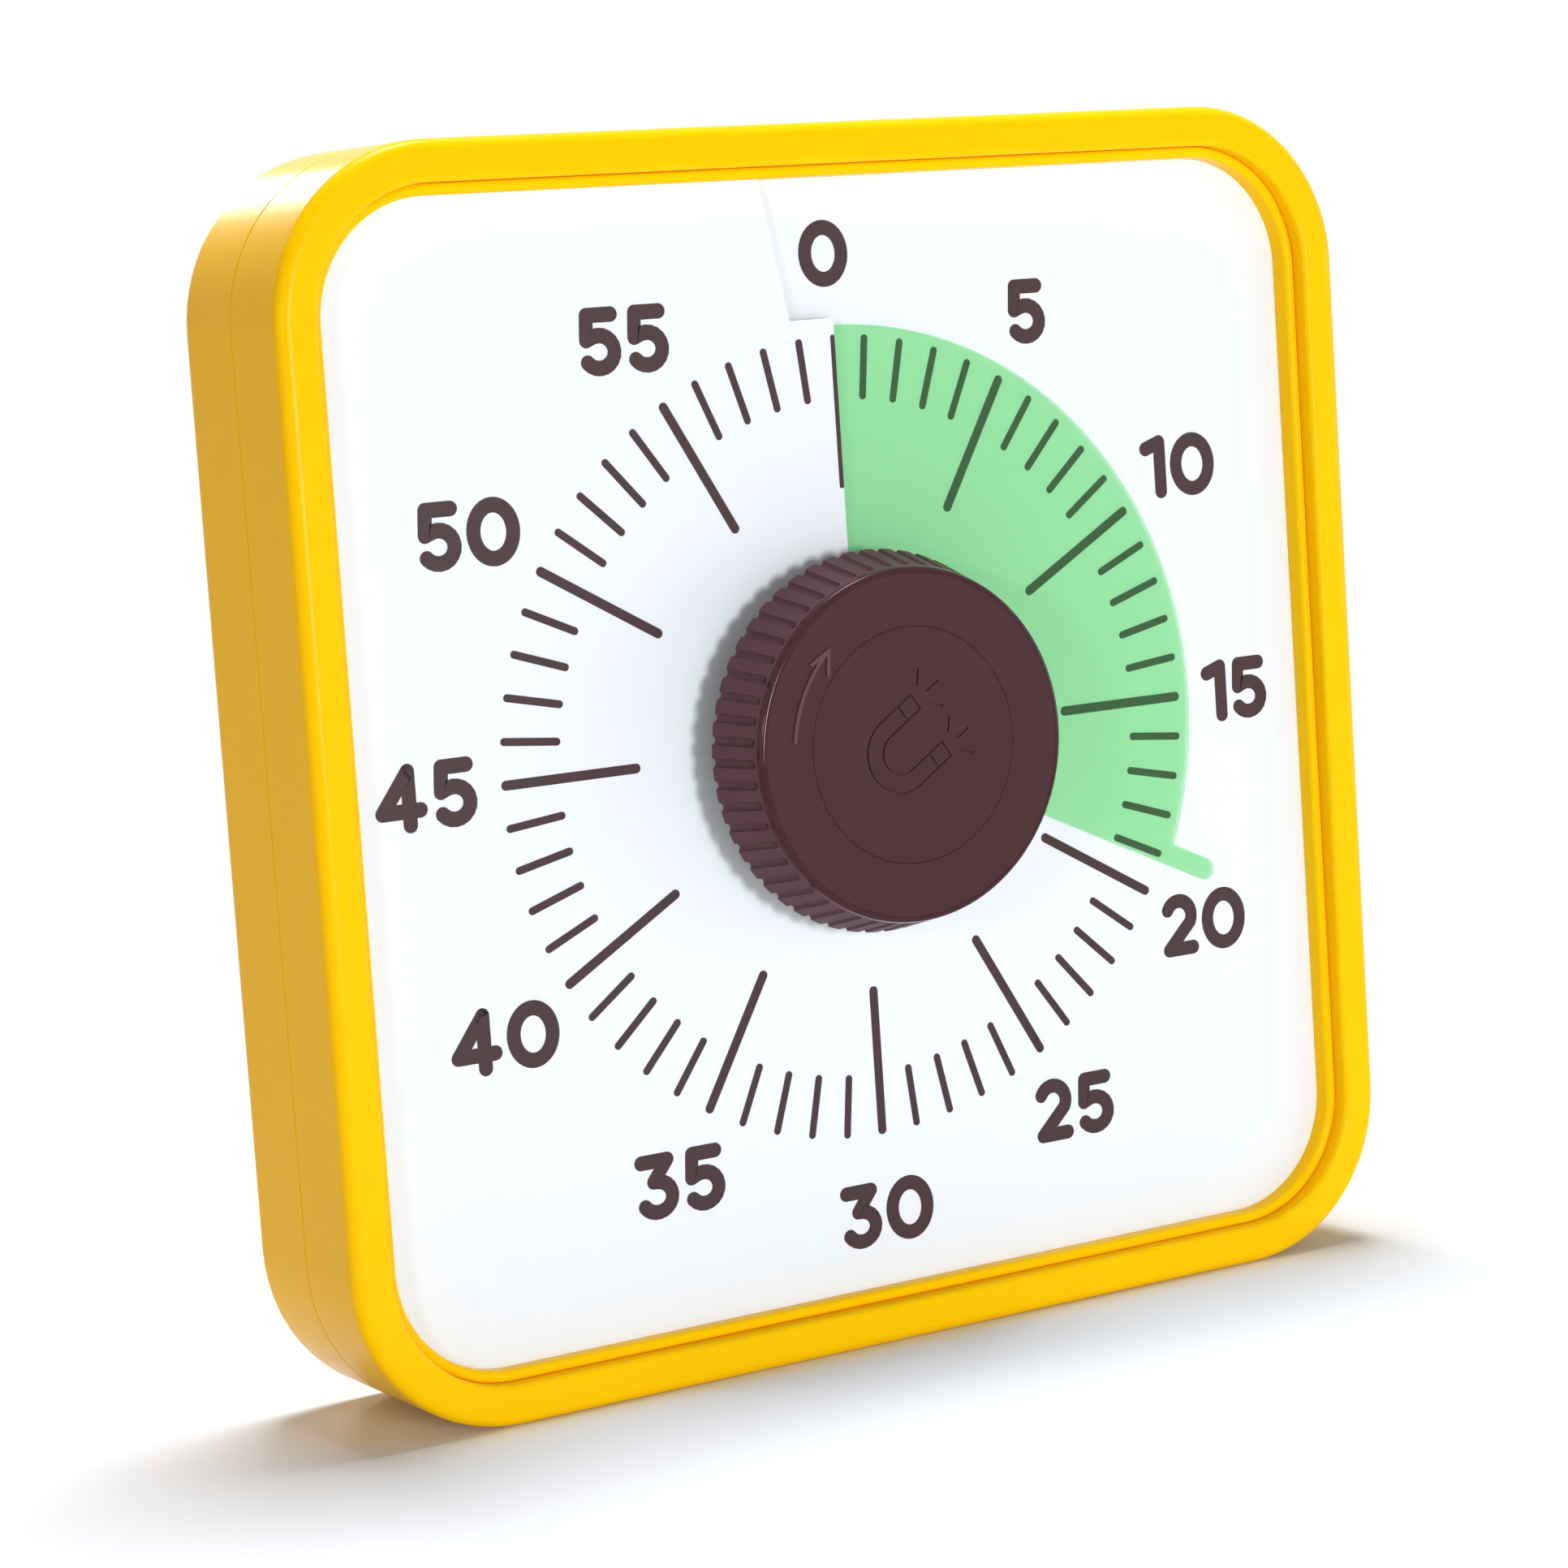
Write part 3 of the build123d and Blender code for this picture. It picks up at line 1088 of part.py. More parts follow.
with BuildPart() as battery:
    with BuildSketch(across(cell_left)):
        Circle(CELL_RADIUS)
    extrude(amount=CELL_LENGTH)
    fillet(battery.edges(), radius=CELL_EDGE)
    with BuildSketch(across(cell_right)):
        Circle(CELL_NUB_RADIUS)
    extrude(amount=CELL_NUB)


def contact_plate(x):
    """Square plate with a solder tail through the bay's roof."""
    tail = BAY_TOP + BAY_ROOF + CONTACT_TAIL - CELL_LEVEL
    with BuildPart() as plate:
        with BuildSketch(across(x)):
            Rectangle(CONTACT_SIZE, CONTACT_SIZE)
            with Locations((0, tail / 2)):
                Rectangle(CONTACT_TAB, tail)
        extrude(amount=CONTACT_THICKNESS)
    return plate.part


with BuildPart() as plate_contact:
    add(contact_plate(plate_face))

spring_start = cell_left - SPRING_WIRE - SPRING_LENGTH

with BuildPart() as spring_coil:
    with BuildLine() as coil_path:
        Helix(pitch=SPRING_LENGTH / SPRING_TURNS, height=SPRING_LENGTH, radius=SPRING_RADIUS)
    with BuildSketch(Plane(origin=coil_path.line @ 0, z_dir=coil_path.line % 0)):
        Circle(SPRING_WIRE)
    sweep(path=coil_path.line, is_frenet=True)

with BuildPart() as spring_contact:
    add(contact_plate(-BAY_LENGTH / 2))
    add(spring_coil.part.moved(across(spring_start).location))

with BuildPart() as battery_door:
    with BuildSketch(facing(BACK)):
        with Locations((0, -BAY_DROP)):
            RectangleRounded(
                DOOR_HOLE_WIDTH - 2 * DOOR_CLEARANCE,
                DOOR_HOLE_TALL - 2 * DOOR_CLEARANCE,
                DOOR_CORNER - DOOR_CLEARANCE,
            )
        with Locations((0, -BAY_DROP + DOOR_HOLE_TALL / 2 - DOOR_CLEARANCE)):
            SlotOverall(DOOR_NIB_WIDTH, 2 * DOOR_NIB)
    extrude(amount=DOOR_THICKNESS - DOOR_SEAT_GAP)
    with BuildSketch(facing(BACK)):
        with Locations((0, -BAY_DROP)):
            with GridLocations(0, DOOR_GRIP_PITCH, 1, DOOR_GRIPS):
                Rectangle(DOOR_GRIP_WIDTH, DOOR_GRIP_HEIGHT)
    extrude(amount=DOOR_GRIP_DEPTH, mode=Mode.SUBTRACT)
    with BuildSketch(*hinge_planes(DOOR_HOOK_WIDTH)):
        with BuildLine():
            CenterArc((0, 0), hook_middle, -DOOR_HOOK_ROOT, DOOR_HOOK_ROOT + DOOR_HOOK_UNDER)
        trace(line_width=DOOR_HOOK_THICKNESS)
    extrude(amount=DOOR_HOOK_WIDTH)


# Electronics

with BuildPart() as circuit_board:
    with BuildSketch(facing(BOARD_LOW)):
        with Locations((0, BOARD_RISE)):
            RectangleRounded(BOARD_WIDTH, BOARD_TALL, BOARD_CORNER)
        with Locations(POST_PLACES):
            Circle(SMALL_THREAD + THREAD_CLEARANCE, mode=Mode.SUBTRACT)
    extrude(amount=BOARD_THICKNESS)
    with BuildSketch(facing(BOARD_TOP)):
        with Locations((CHIP_PLACE[0], BOARD_RISE + CHIP_PLACE[1])):
            Rectangle(CHIP_SIZE, CHIP_SIZE)
    extrude(amount=CHIP_HEIGHT)
    with BuildSketch(facing(BOARD_TOP)):
        with Locations((CAN_PLACE[0], BOARD_RISE + CAN_PLACE[1])):
            Circle(CAN_RADIUS)
    extrude(amount=CAN_HEIGHT)

with BuildPart() as volume_switch:
    with BuildSketch(facing(BOARD_LOW)):
        with Locations((0, BOARD_RISE)):
            Rectangle(SWITCH_WIDTH, SWITCH_TALL)
    extrude(amount=-SWITCH_HEIGHT)
    with BuildSketch(facing(BOARD_LOW - SWITCH_HEIGHT)):
        with Locations((0, BOARD_RISE)):
            Rectangle(
                STEM_WIDTH + 2 * (SLIDER_TRAVEL + SLIDER_CLEARANCE),
                STEM_TALL + 2 * SLIDER_CLEARANCE,
            )
    extrude(amount=STEM_ROOM, mode=Mode.SUBTRACT)

button_front = BACK + SLIDER_RECESS - SLIDER_LIFT

with BuildPart() as volume_slider:
    with BuildSketch(facing(BACK + SLIDER_SETBACK)):
        with Locations((0, BOARD_RISE)):
            Rectangle(SLIDER_WIDTH, SLIDER_TALL)
    extrude(amount=button_front - BACK - SLIDER_SETBACK)
    with BuildSketch(facing(BACK + SLIDER_SETBACK)):
        with Locations((0, BOARD_RISE)):
            with GridLocations(SLIDER_RIB_PITCH, 0, SLIDER_RIBS, 1):
                Rectangle(SLIDER_RIB_WIDTH, SLIDER_TALL)
    extrude(amount=SLIDER_RIB_DEPTH, mode=Mode.SUBTRACT)
    with BuildSketch(facing(button_front)):
        with Locations((0, BOARD_RISE)):
            Rectangle(STEM_WIDTH, STEM_TALL)
    extrude(amount=BOARD_LOW - SWITCH_HEIGHT + STEM_BITE - button_front)

with BuildPart() as buzzer:
    with BuildSketch(facing(FLOOR)):
        with Locations(BUZZER_PLACE):
            Circle(BUZZER_RADIUS)
    extrude(amount=BUZZER_HEIGHT)
    fillet(buzzer.edges().sort_by(Axis.Y)[0], radius=BUZZER_EDGE)


# Internal leads


def lead(places, radius, bend):
    """Round wire along places given as across, up from the dial's axis, and height."""
    points = [(x, -height, CASE_SIZE / 2 + z) for x, z, height in places]
    with BuildPart() as wire:
        with BuildLine() as run:
            FilletPolyline(*points, radius=bend)
        with BuildSketch(Plane(origin=run.line @ 0, z_dir=run.line % 0)):
            Circle(radius)
        sweep(path=run.line)
    return wire.part


def power_lead(side):
    """Lead from a battery contact to the circuit board."""
    level = BAY_TOP + BAY_ROOF + LEAD_RISE
    places = [
        (side * (BAY_LENGTH / 2 + LEAD_RADIUS), -BAY_DROP, level),
        (side * LEAD_RUN, -BAY_DROP, level),
        (side * LEAD_RUN, BOARD_RISE, level),
        (side * LEAD_RUN, BOARD_RISE, BOARD_TOP + LEAD_RADIUS),
        (side * (BOARD_WIDTH / 2 - LEAD_BEND), BOARD_RISE, BOARD_TOP + LEAD_RADIUS),
    ]
    return lead(places, LEAD_RADIUS, LEAD_BEND)


with BuildPart() as red_lead:
    add(power_lead(1))

with BuildPart() as black_lead:
    add(power_lead(-1))

coil_end = ROTOR_PLACE[1] + COIL_LENGTH / 2
board_edge = BOARD_RISE - BOARD_TALL / 2
thin_level = BOARD_TOP + THIN_LEAD_RADIUS

with BuildPart() as coil_leads:
    for shift in (-THIN_LEAD_PITCH / 2, THIN_LEAD_PITCH / 2):
        add(
            lead(
                [
                    (COIL_LEAD_X + shift, coil_end, STATOR_MIDDLE + COIL_TALL / 4),
                    (COIL_LEAD_X + shift, COIL_LEAD_TURN + shift, STATOR_MIDDLE + COIL_TALL / 4),
                    (COIL_LEAD_END + shift, COIL_LEAD_TURN + shift, STATOR_MIDDLE + COIL_TALL / 4),
                    (COIL_LEAD_END + shift, board_edge - LEAD_BEND, thin_level),
                    (COIL_LEAD_END + shift, board_edge + LEAD_BEND, thin_level),
                ],
                THIN_LEAD_RADIUS,
                THIN_LEAD_BEND,
            )
        )

buzzer_top = FLOOR + BUZZER_HEIGHT + THIN_LEAD_RADIUS

with BuildPart() as buzzer_leads:
    for shift in (-THIN_LEAD_PITCH / 2, THIN_LEAD_PITCH / 2):
        add(
            lead(
                [
                    (BUZZER_PLACE[0] + BUZZER_RADIUS / 2, BUZZER_PLACE[1] + shift, buzzer_top),
                    (BUZZER_LEAD_X - shift, BUZZER_PLACE[1] + shift, buzzer_top),
                    (BUZZER_LEAD_X - shift, BOARD_RISE - LEAD_BEND - shift, buzzer_top),
                    (BUZZER_LEAD_X - shift, BOARD_RISE - LEAD_BEND - shift, thin_level),
                    (LEAD_BEND - BOARD_WIDTH / 2, BOARD_RISE - LEAD_BEND - shift, thin_level),
                ],
                THIN_LEAD_RADIUS,
                THIN_LEAD_BEND,
            )
        )


# Named pieces

os.makedirs("parts", exist_ok=True)

front_shell.part.label = "front_shell"
export_step(front_shell.part, "parts/front_shell.step")

rear_shell.part.label = "rear_shell"
export_step(rear_shell.part, "parts/rear_shell.step")

dial_card.part.label = "dial_card"
export_step(dial_card.part, "parts/dial_card.step")

dial_carrier.part.label = "dial_carrier"
export_step(dial_carrier.part, "parts/dial_carrier.step")

film_disc.part.label = "film_disc"
export_step(film_disc.part, "parts/film_disc.step")

film_hub.part.label = "film_hub"
export_step(film_hub.part, "parts/film_hub.step")

knob_body.part.label = "knob_body"
export_step(knob_body.part, "parts/knob_body.step")

knob_cap.part.label = "knob_cap"
export_step(knob_cap.part, "parts/knob_cap.step")

knob_arbor.part.label = "knob_arbor"
export_step(knob_arbor.part, "parts/knob_arbor.step")

knob_screw.part.label = "knob_screw"
export_step(knob_screw.part, "parts/knob_screw.step")

clutch_collar.part.label = "clutch_collar"
export_step(clutch_collar.part, "parts/clutch_collar.step")

clutch_spring.part.label = "clutch_spring"
export_step(clutch_spring.part, "parts/clutch_spring.step")

arbor_bush.part.label = "arbor_bush"
export_step(arbor_bush.part, "parts/arbor_bush.step")

centre_wheel.part.label = "centre_wheel"
export_step(centre_wheel.part, "parts/centre_wheel.step")

third_wheel.part.label = "third_wheel"
export_step(third_wheel.part, "parts/third_wheel.step")

fourth_wheel.part.label = "fourth_wheel"
export_step(fourth_wheel.part, "parts/fourth_wheel.step")

rotor.part.label = "rotor"
export_step(rotor.part, "parts/rotor.step")

stator.part.label = "stator"
export_step(stator.part, "parts/stator.step")

coil.part.label = "coil"
export_step(coil.part, "parts/coil.step")

movement_front.part.label = "movement_front"
export_step(movement_front.part, "parts/movement_front.step")

movement_rear.part.label = "movement_rear"
export_step(movement_rear.part, "parts/movement_rear.step")

battery.part.label = "battery"
export_step(battery.part, "parts/battery.step")

plate_contact.part.label = "plate_contact"
export_step(plate_contact.part, "parts/plate_contact.step")

spring_contact.part.label = "spring_contact"
export_step(spring_contact.part, "parts/spring_contact.step")

battery_door.part.label = "battery_door"
export_step(battery_door.part, "parts/battery_door.step")

circuit_board.part.label = "circuit_board"
export_step(circuit_board.part, "parts/circuit_board.step")

volume_switch.part.label = "volume_switch"
export_step(volume_switch.part, "parts/volume_switch.step")

volume_slider.part.label = "volume_slider"
export_step(volume_slider.part, "parts/volume_slider.step")

buzzer.part.label = "buzzer"
export_step(buzzer.part, "parts/buzzer.step")

back_magnets.part.label = "back_magnets"
export_step(back_magnets.part, "parts/back_magnets.step")

case_screws.part.label = "case_screws"
export_step(case_screws.part, "parts/case_screws.step")

movement_screws.part.label = "movement_screws"
export_step(movement_screws.part, "parts/movement_screws.step")

board_screws.part.label = "board_screws"
export_step(board_screws.part, "parts/board_screws.step")

red_lead.part.label = "red_lead"
export_step(red_lead.part, "parts/red_lead.step")

black_lead.part.label = "black_lead"
export_step(black_lead.part, "parts/black_lead.step")

coil_leads.part.label = "coil_leads"
export_step(coil_leads.part, "parts/coil_leads.step")

buzzer_leads.part.label = "buzzer_leads"
export_step(buzzer_leads.part, "parts/buzzer_leads.step")
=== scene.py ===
import math

import bmesh
import bpy
from mathutils import Matrix, Vector


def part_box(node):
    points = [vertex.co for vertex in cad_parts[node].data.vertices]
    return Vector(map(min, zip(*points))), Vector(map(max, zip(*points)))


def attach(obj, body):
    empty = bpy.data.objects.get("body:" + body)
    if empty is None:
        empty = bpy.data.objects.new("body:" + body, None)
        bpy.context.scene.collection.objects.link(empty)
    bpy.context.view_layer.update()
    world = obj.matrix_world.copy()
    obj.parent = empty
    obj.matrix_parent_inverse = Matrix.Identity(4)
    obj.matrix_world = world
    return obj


bl_info = {
    "name": "Visual Timer Finishes",
    "version": (1, 0, 0),
    "blender": (4, 5, 0),
    "location": "3D View > Sidebar > Timer",
    "description": "Prints the dial and gives each piece of a visual countdown timer its finish",
    "category": "Object",
}

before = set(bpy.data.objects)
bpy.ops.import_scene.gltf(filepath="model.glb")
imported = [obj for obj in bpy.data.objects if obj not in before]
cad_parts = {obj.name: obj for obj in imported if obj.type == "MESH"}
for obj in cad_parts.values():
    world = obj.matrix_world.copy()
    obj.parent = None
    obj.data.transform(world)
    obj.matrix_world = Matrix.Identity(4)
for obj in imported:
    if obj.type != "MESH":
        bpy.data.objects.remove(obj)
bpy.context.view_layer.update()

MM = 0.001
WHITE = (1.0, 1.0, 1.0, 1.0)
HALF = 0.5  # a value over this counts as 1, and one under it as 0

# Dial
CASE_LOW, CASE_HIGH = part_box("front_shell")
DIAL_AXIS = Vector((0.0, 0.0, (CASE_LOW.z + CASE_HIGH.z) / 2))
CARD_FRONT = -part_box("dial_card")[0].y  # from the case's middle to the card's raised edge
MINUTES = 60
LABEL_STEP = 5
NEARER_LABELS = (5, 15, 25, 35, 55)  # set slightly closer to the dial's axis
FIGURE_HEIGHT = 8.1  # height of a figure's middle lines, in the units that they are drawn in

# Strokes of the print
ROUND_STEPS = 8  # in a stroke's rounded end or corner
SHARP_TURN = math.radians(25)  # from here on, the outside of a corner is rounded
MERGE_REACH = 0.002 * MM  # points closer than this are one
EMPTY_EDGE = 0.001 * MM  # edges shorter than this are dropped

# Knob, by distance from the middle of its face
CAP_FRONT = -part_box("knob_cap")[0].y  # from the case's middle
RELIEF_START = 0.1 * MM  # height over the face, or depth below it, where a relief's tone starts
DRAWING_REACH = 24 * MM  # outside of the arrow
EDGE_START = 26.2 * MM  # inside of the rounded edge
EDGE_END = 27.4 * MM  # outside of it
KNOB_ROUGHNESS = 0.52
EDGE_ROUGHNESS = 0.12

# Film and metals
FILM_BODY = 0.05  # share of each film face that is solid colour
EVEN = (1, 1, 1)  # grain alike in all directions
TURNED = (1, 8, 1)  # grain that is finer along the depth, as a lathe leaves it

# Battery, by distance from its ends
NOSE_BARE = 1.5 * MM
TAIL_BARE = 0.5 * MM
BAND_START = 15.5 * MM
BAND_FADE = 0.3 * MM

# Studio
FLOOR_REACH = 6.0  # metres from the middle to each side
FLOOR_NEAR = 0.16  # radius, in metres, where the floor begins to fade to plain white
FLOOR_FAR = 0.4  # radius, in metres, where it is plain white
SENSOR_WIDTH = 36.0  # millimetres
NEAREST_SEEN = 0.01  # metres


def srgb(red, green, blue):
    """Linear colour, with alpha, of a display colour written from 0 to 255."""
    linear = []
    for value in (red, green, blue):
        share = value / 255
        linear.append(share / 12.92 if share <= 0.04045 else ((share + 0.055) / 1.055) ** 2.4)
    return (*linear, 1.0)


def shade(base, share):
    """The same colour, this share as bright."""
    return (*(channel * share for channel in base[:3]), 1.0)


def within(low, high, factor):
    """Number from low to high, where the factor goes from 0 to 1."""
    return low + (high - low) * factor


def length(name, description, millimetres):
    """Length property, given in millimetres and kept in metres."""
    return bpy.props.FloatProperty(
        name=name,
        description=description,
        default=millimetres * MM,
        min=0.0,
        unit="LENGTH",
        subtype="DISTANCE",
        precision=5,
    )


def colour(name, description, red, green, blue):
    """Colour property, given as a display colour."""
    return bpy.props.FloatVectorProperty(
        name=name,
        description=description,
        default=srgb(red, green, blue),
        min=0.0,
        max=1.0,
        size=4,
        subtype="COLOR",
    )


def angle(name, description, degrees):
    """Angle property, given in degrees."""
    return bpy.props.FloatProperty(
        name=name, description=description, default=math.radians(degrees), unit="ROTATION", subtype="ANGLE"
    )


def power(name, description, watts):
    """Lamp power property, given in watts."""
    return bpy.props.FloatProperty(name=name, description=description, default=watts, min=0.0, unit="POWER")


# Sizes and colours that a user may change


class TimerDialSizes(bpy.types.PropertyGroup):
    """Places and widths of what is printed on the dial card."""

    front: length("Card front", "Case's middle to the card's raised edge at the slit", CARD_FRONT / MM)
    rise: length("Ramp rise", "How much the card climbs in one clockwise turn", 1.8)
    ink: length("Ink", "Thickness of the print over the card", 0.06)
    bed: length("Ink bed", "How far the print reaches into the card", 0.15)
    tick_outer: length("Mark end", "Radius where every minute mark ends", 62.75)
    long_inner: length("Long mark start", "Radius where a five-minute mark starts", 39.1)
    short_inner: length("Short mark start", "Radius where a minute mark starts", 52.7)
    long_width: length("Long mark width", "Width of a five-minute mark", 1.5)
    short_width: length("Short mark width", "Width of a minute mark", 1.2)
    numeral_radius: length("Numeral radius", "Dial's axis to the middle of most numerals", 75.2)
    near_radius: length("Nearer numeral radius", "Dial's axis to the middle of the nearer numerals", 74.1)
    numeral_height: length("Numeral height", "Height of a numeral", 10.25)
    numeral_stroke: length("Numeral stroke", "Width of a numeral's stroke", 2.3)
    numeral_gap: length("Numeral gap", "Space between two figures", 0.9)


class TimerColours(bpy.types.PropertyGroup):
    """Colours of the timer's finishes."""

    case: colour("Case", "Satin moulding of the case", 255, 202, 0)
    card: colour("Card", "Dial card", 238, 244, 251)
    ink: colour("Ink", "Marks and numerals", 60, 37, 41)
    film: colour("Film tint", "Light that each face of the film lets through", 228, 249, 230)
    film_face: colour("Film face", "Light that the film's face gives back", 170, 252, 188)
    knob: colour("Knob", "Matt moulding of the knob", 62, 30, 37)
    # Painted light: the knob's skirt is painted this lighter tone, for the light that its ridges catch
    skirt: colour("Skirt", "Worn skirt of the knob", 84, 54, 63)
    arrow: colour("Arrow", "Worn top of the raised arrow", 92, 60, 65)
    # Painted light: the pictogram's floor is painted paler than the knob, to cancel the shade that falls in
    # its recess
    pictogram: colour("Pictogram", "Floor of the pictogram in the cap", 72, 41, 47)
    floor: colour("Floor", "Studio floor, as it lights the timer", 226, 226, 226)
    floor_seen: colour("Floor in view", "Studio floor, as the camera sees it", 243, 248, 255)


class TimerStageSizes(bpy.types.PropertyGroup):
    """Camera and lamps."""

    camera: bpy.props.FloatVectorProperty(
        name="Camera",
        description="Camera's place",
        default=(-338.6 * MM, -552.6 * MM, 164.0 * MM),
        size=3,
        subtype="TRANSLATION",
    )
    heading: angle("Camera heading", "How far the camera turns from the dial's own axis", -30.98)
    pitch: angle("Camera pitch", "How far the camera looks down", 6.73)
    roll: angle("Camera roll", "How far the camera leans", -3.81)
    lens: bpy.props.FloatProperty(name="Lens", description="Focal length", default=94.6, unit="CAMERA")
    key: power("Key lamp", "Main lamp, in front of the dial", 7.8)
    fill: power("Fill lamp", "Small lamp in front, to the left", 1.7)
    left: power("Left lamp", "Warm lamp beside the timer, to the left", 1.3)
    warmth: colour("Left lamp colour", "Colour of the left lamp", 255, 180, 95)
    top: power("Top lamp", "Lamp over the timer", 11.5)
    rim: power("Rim lamp", "Lamp behind and above", 2.4)
    right: power("Right lamp", "Lamp to the right", 0.6)
    sky: bpy.props.FloatProperty(name="Surround", description="Light from all round", default=0.17)


# Nodes, with values that take plain arithmetic


def math_operator(operation, reflected=False):
    """Python operator that adds a Math node; a reflected one has its own value second."""

    def add_node(value, other):
        pair = (other, value) if reflected else (value, other)
        return value.nodes.node("ShaderNodeMath", {"operation": operation}, dict(enumerate(pair)))

    return add_node


class Value:
    """One output in a node tree, used in arithmetic."""

    __add__ = math_operator("ADD")
    __radd__ = math_operator("ADD", reflected=True)
    __sub__ = math_operator("SUBTRACT")
    __rsub__ = math_operator("SUBTRACT", reflected=True)
    __mul__ = math_operator("MULTIPLY")
    __rmul__ = math_operator("MULTIPLY", reflected=True)
    __truediv__ = math_operator("DIVIDE")
    __mod__ = math_operator("MODULO")
    __gt__ = math_operator("GREATER_THAN")
    __lt__ = math_operator("LESS_THAN")

    def __init__(self, nodes, socket):
        self.nodes = nodes
        self.socket = socket


class Nodes:
    """One node tree, with its nodes added by type, settings and values."""

    def __init__(self, tree):
        self.tree = tree

    def node(self, kind, settings=None, values=None, output=0):
        """Adds a node, sets it up, fills its sockets and gives back one output."""
        made = self.tree.nodes.new(kind)
        for name, setting in (settings or {}).items():
            setattr(made, name, setting)
        for name, value in (values or {}).items():
            self.fill(made.inputs[name], value)
        return Value(self, made.outputs[output])

    def outputs(self, kind, names):
        """Adds a node and gives back these outputs of it."""
        made = self.tree.nodes.new(kind)
        return [Value(self, made.outputs[name]) for name in names]

    def fill(self, socket, value):
        """Links a value to a socket, or writes a plain one there."""
        if isinstance(value, Value):
            self.tree.links.new(value.socket, socket)
        else:
            socket.default_value = value


class Shader(Nodes):
    """Node tree of a material or of the surround."""

    def __init__(self, tree, output):
        super().__init__(tree)
        self.shown = tree.nodes[output].inputs["Surface"]

    def show(self, closure):
        """Makes this the shader that the output shows."""
        self.fill(self.shown, closure)

    def seen(self):
        """1 for what the camera sees, straight, mirrored or through glass, and 0 for light."""
        rays = ("Is Camera Ray", "Is Glossy Ray", "Is Transmission Ray")
        straight, mirrored, through = self.outputs("ShaderNodeLightPath", rays)
        return straight + mirrored + through > HALF


class Finish(Shader):
    """One material, built on the plain surface shader."""

    def __init__(self, name):
        self.material = bpy.data.materials.new(name)
        self.material.use_nodes = True
        super().__init__(self.material.node_tree, "Material Output")
        self.main = self.tree.nodes["Principled BSDF"]

    def surface(self, **values):
        """Sets the main shader's sockets, named with underscores for spaces."""
        for name, value in values.items():
            self.fill(self.main.inputs[name.replace("_", " ")], value)

    def solid(self):
        """The main shader itself, to mix with others."""
        return Value(self, self.main.outputs[0])

    def place(self):
        """Where on the piece, in metres."""
        return self.node("ShaderNodeTexCoord", output="Object")

    def axis(self, letter):
        """One coordinate on the piece, in metres."""
        return self.node("ShaderNodeSeparateXYZ", values={0: self.place()}, output=letter)

    def distance(self, middle):
        """How far this place on the piece is from a middle, in metres."""
        values = {0: self.place(), 1: middle}
        return self.node("ShaderNodeVectorMath", {"operation": "DISTANCE"}, values, output="Value")

    def noise(self, scale, detail=2.0, stretch=EVEN):
        """Soft noise from 0 to 1, with this many grains in a metre."""
        stretched = self.node("ShaderNodeMapping", values={"Vector": self.place(), "Scale": stretch})
        return self.node("ShaderNodeTexNoise", values={"Vector": stretched, "Scale": scale, "Detail": detail})

    def blend(self, first, second, factor):
        """Colour between two colours; sockets 6 and 7 and output 2 are the node's colour ones."""
        values = {0: factor, 6: first, 7: second}
        return self.node("ShaderNodeMix", {"data_type": "RGBA"}, values, output=2)

    def uneven(self, base, low, high, factor):
        """A colour whose brightness goes from low to high times its own."""
        return self.blend(shade(base, low), shade(base, high), factor)

    def fade(self, value, low, high):
        """0 below low, 1 above high, and a straight fade from one to the other."""
        values = {"Value": value, "From Min": low, "From Max": high}
        return self.node("ShaderNodeMapRange", values=values)

    def bump(self, height, depth):
        """Surface relief from a height between 0 and 1, of this depth in metres."""
        return self.node("ShaderNodeBump", values={"Height": height, "Distance": depth, "Strength": 1.0})


# Finishes


def moulding(finish, base, roughness, grain):
    """Uneven colour and gloss of moulded plastic, and the height of its grain."""
    clouds = finish.noise(14.0)
    pores = finish.noise(grain, detail=3.0)
    tone = finish.uneven(base, 0.97, 1.02, clouds)
    gloss = within(roughness - 0.03, roughness + 0.03, clouds) + 0.02 * pores
    return tone, gloss, pores


def moulded_finish(name, base, roughness, grain, depth=0.01 * MM, specular=0.5):
    """Moulded plastic with a faint grain."""
    finish = Finish(name)
    tone, gloss, pores = moulding(finish, base, roughness, grain)
    finish.surface(
        Base_Color=tone, Roughness=gloss, Normal=finish.bump(pores, depth), Specular_IOR_Level=specular
    )
    return finish


def knob_finish(name, colours, relief, raised):
    """Matt knob plastic with a polished edge, a skirt painted a lighter tone as painted light, and a paler
    relief; on the cap the sunk pictogram is painted paler to cancel the shade in its recess.

    The relief stands in front of the face if raised, and lies behind it if not.
    """
    finish = Finish(name)
    tone, gloss, pores = moulding(finish, colours.knob, KNOB_ROUGHNESS, grain=2600.0)
    level = CAP_FRONT + RELIEF_START if raised else CAP_FRONT - RELIEF_START
    forward = 0.0 - finish.axis("Y")
    in_relief = forward > level if raised else forward < level
    reach = finish.distance((0.0, -level, DIAL_AXIS.z))
    polished = (reach > EDGE_START) * (reach < EDGE_END)
    # Painted light: beyond the rounded edge the skirt is painted a lighter tone, for the light it catches
    painted_light_skirt = finish.blend(tone, colours.skirt, reach > EDGE_END)
    finish.surface(
        # On the cap the relief is the pictogram, painted paler as painted light against the shade in its
        # recess
        Base_Color=finish.blend(painted_light_skirt, relief, in_relief * (reach < DRAWING_REACH)),
        Roughness=gloss + (EDGE_ROUGHNESS - KNOB_ROUGHNESS) * polished,
        Normal=finish.bump(pores, 0.008 * MM),
        Specular_IOR_Level=0.2,
    )
    return finish


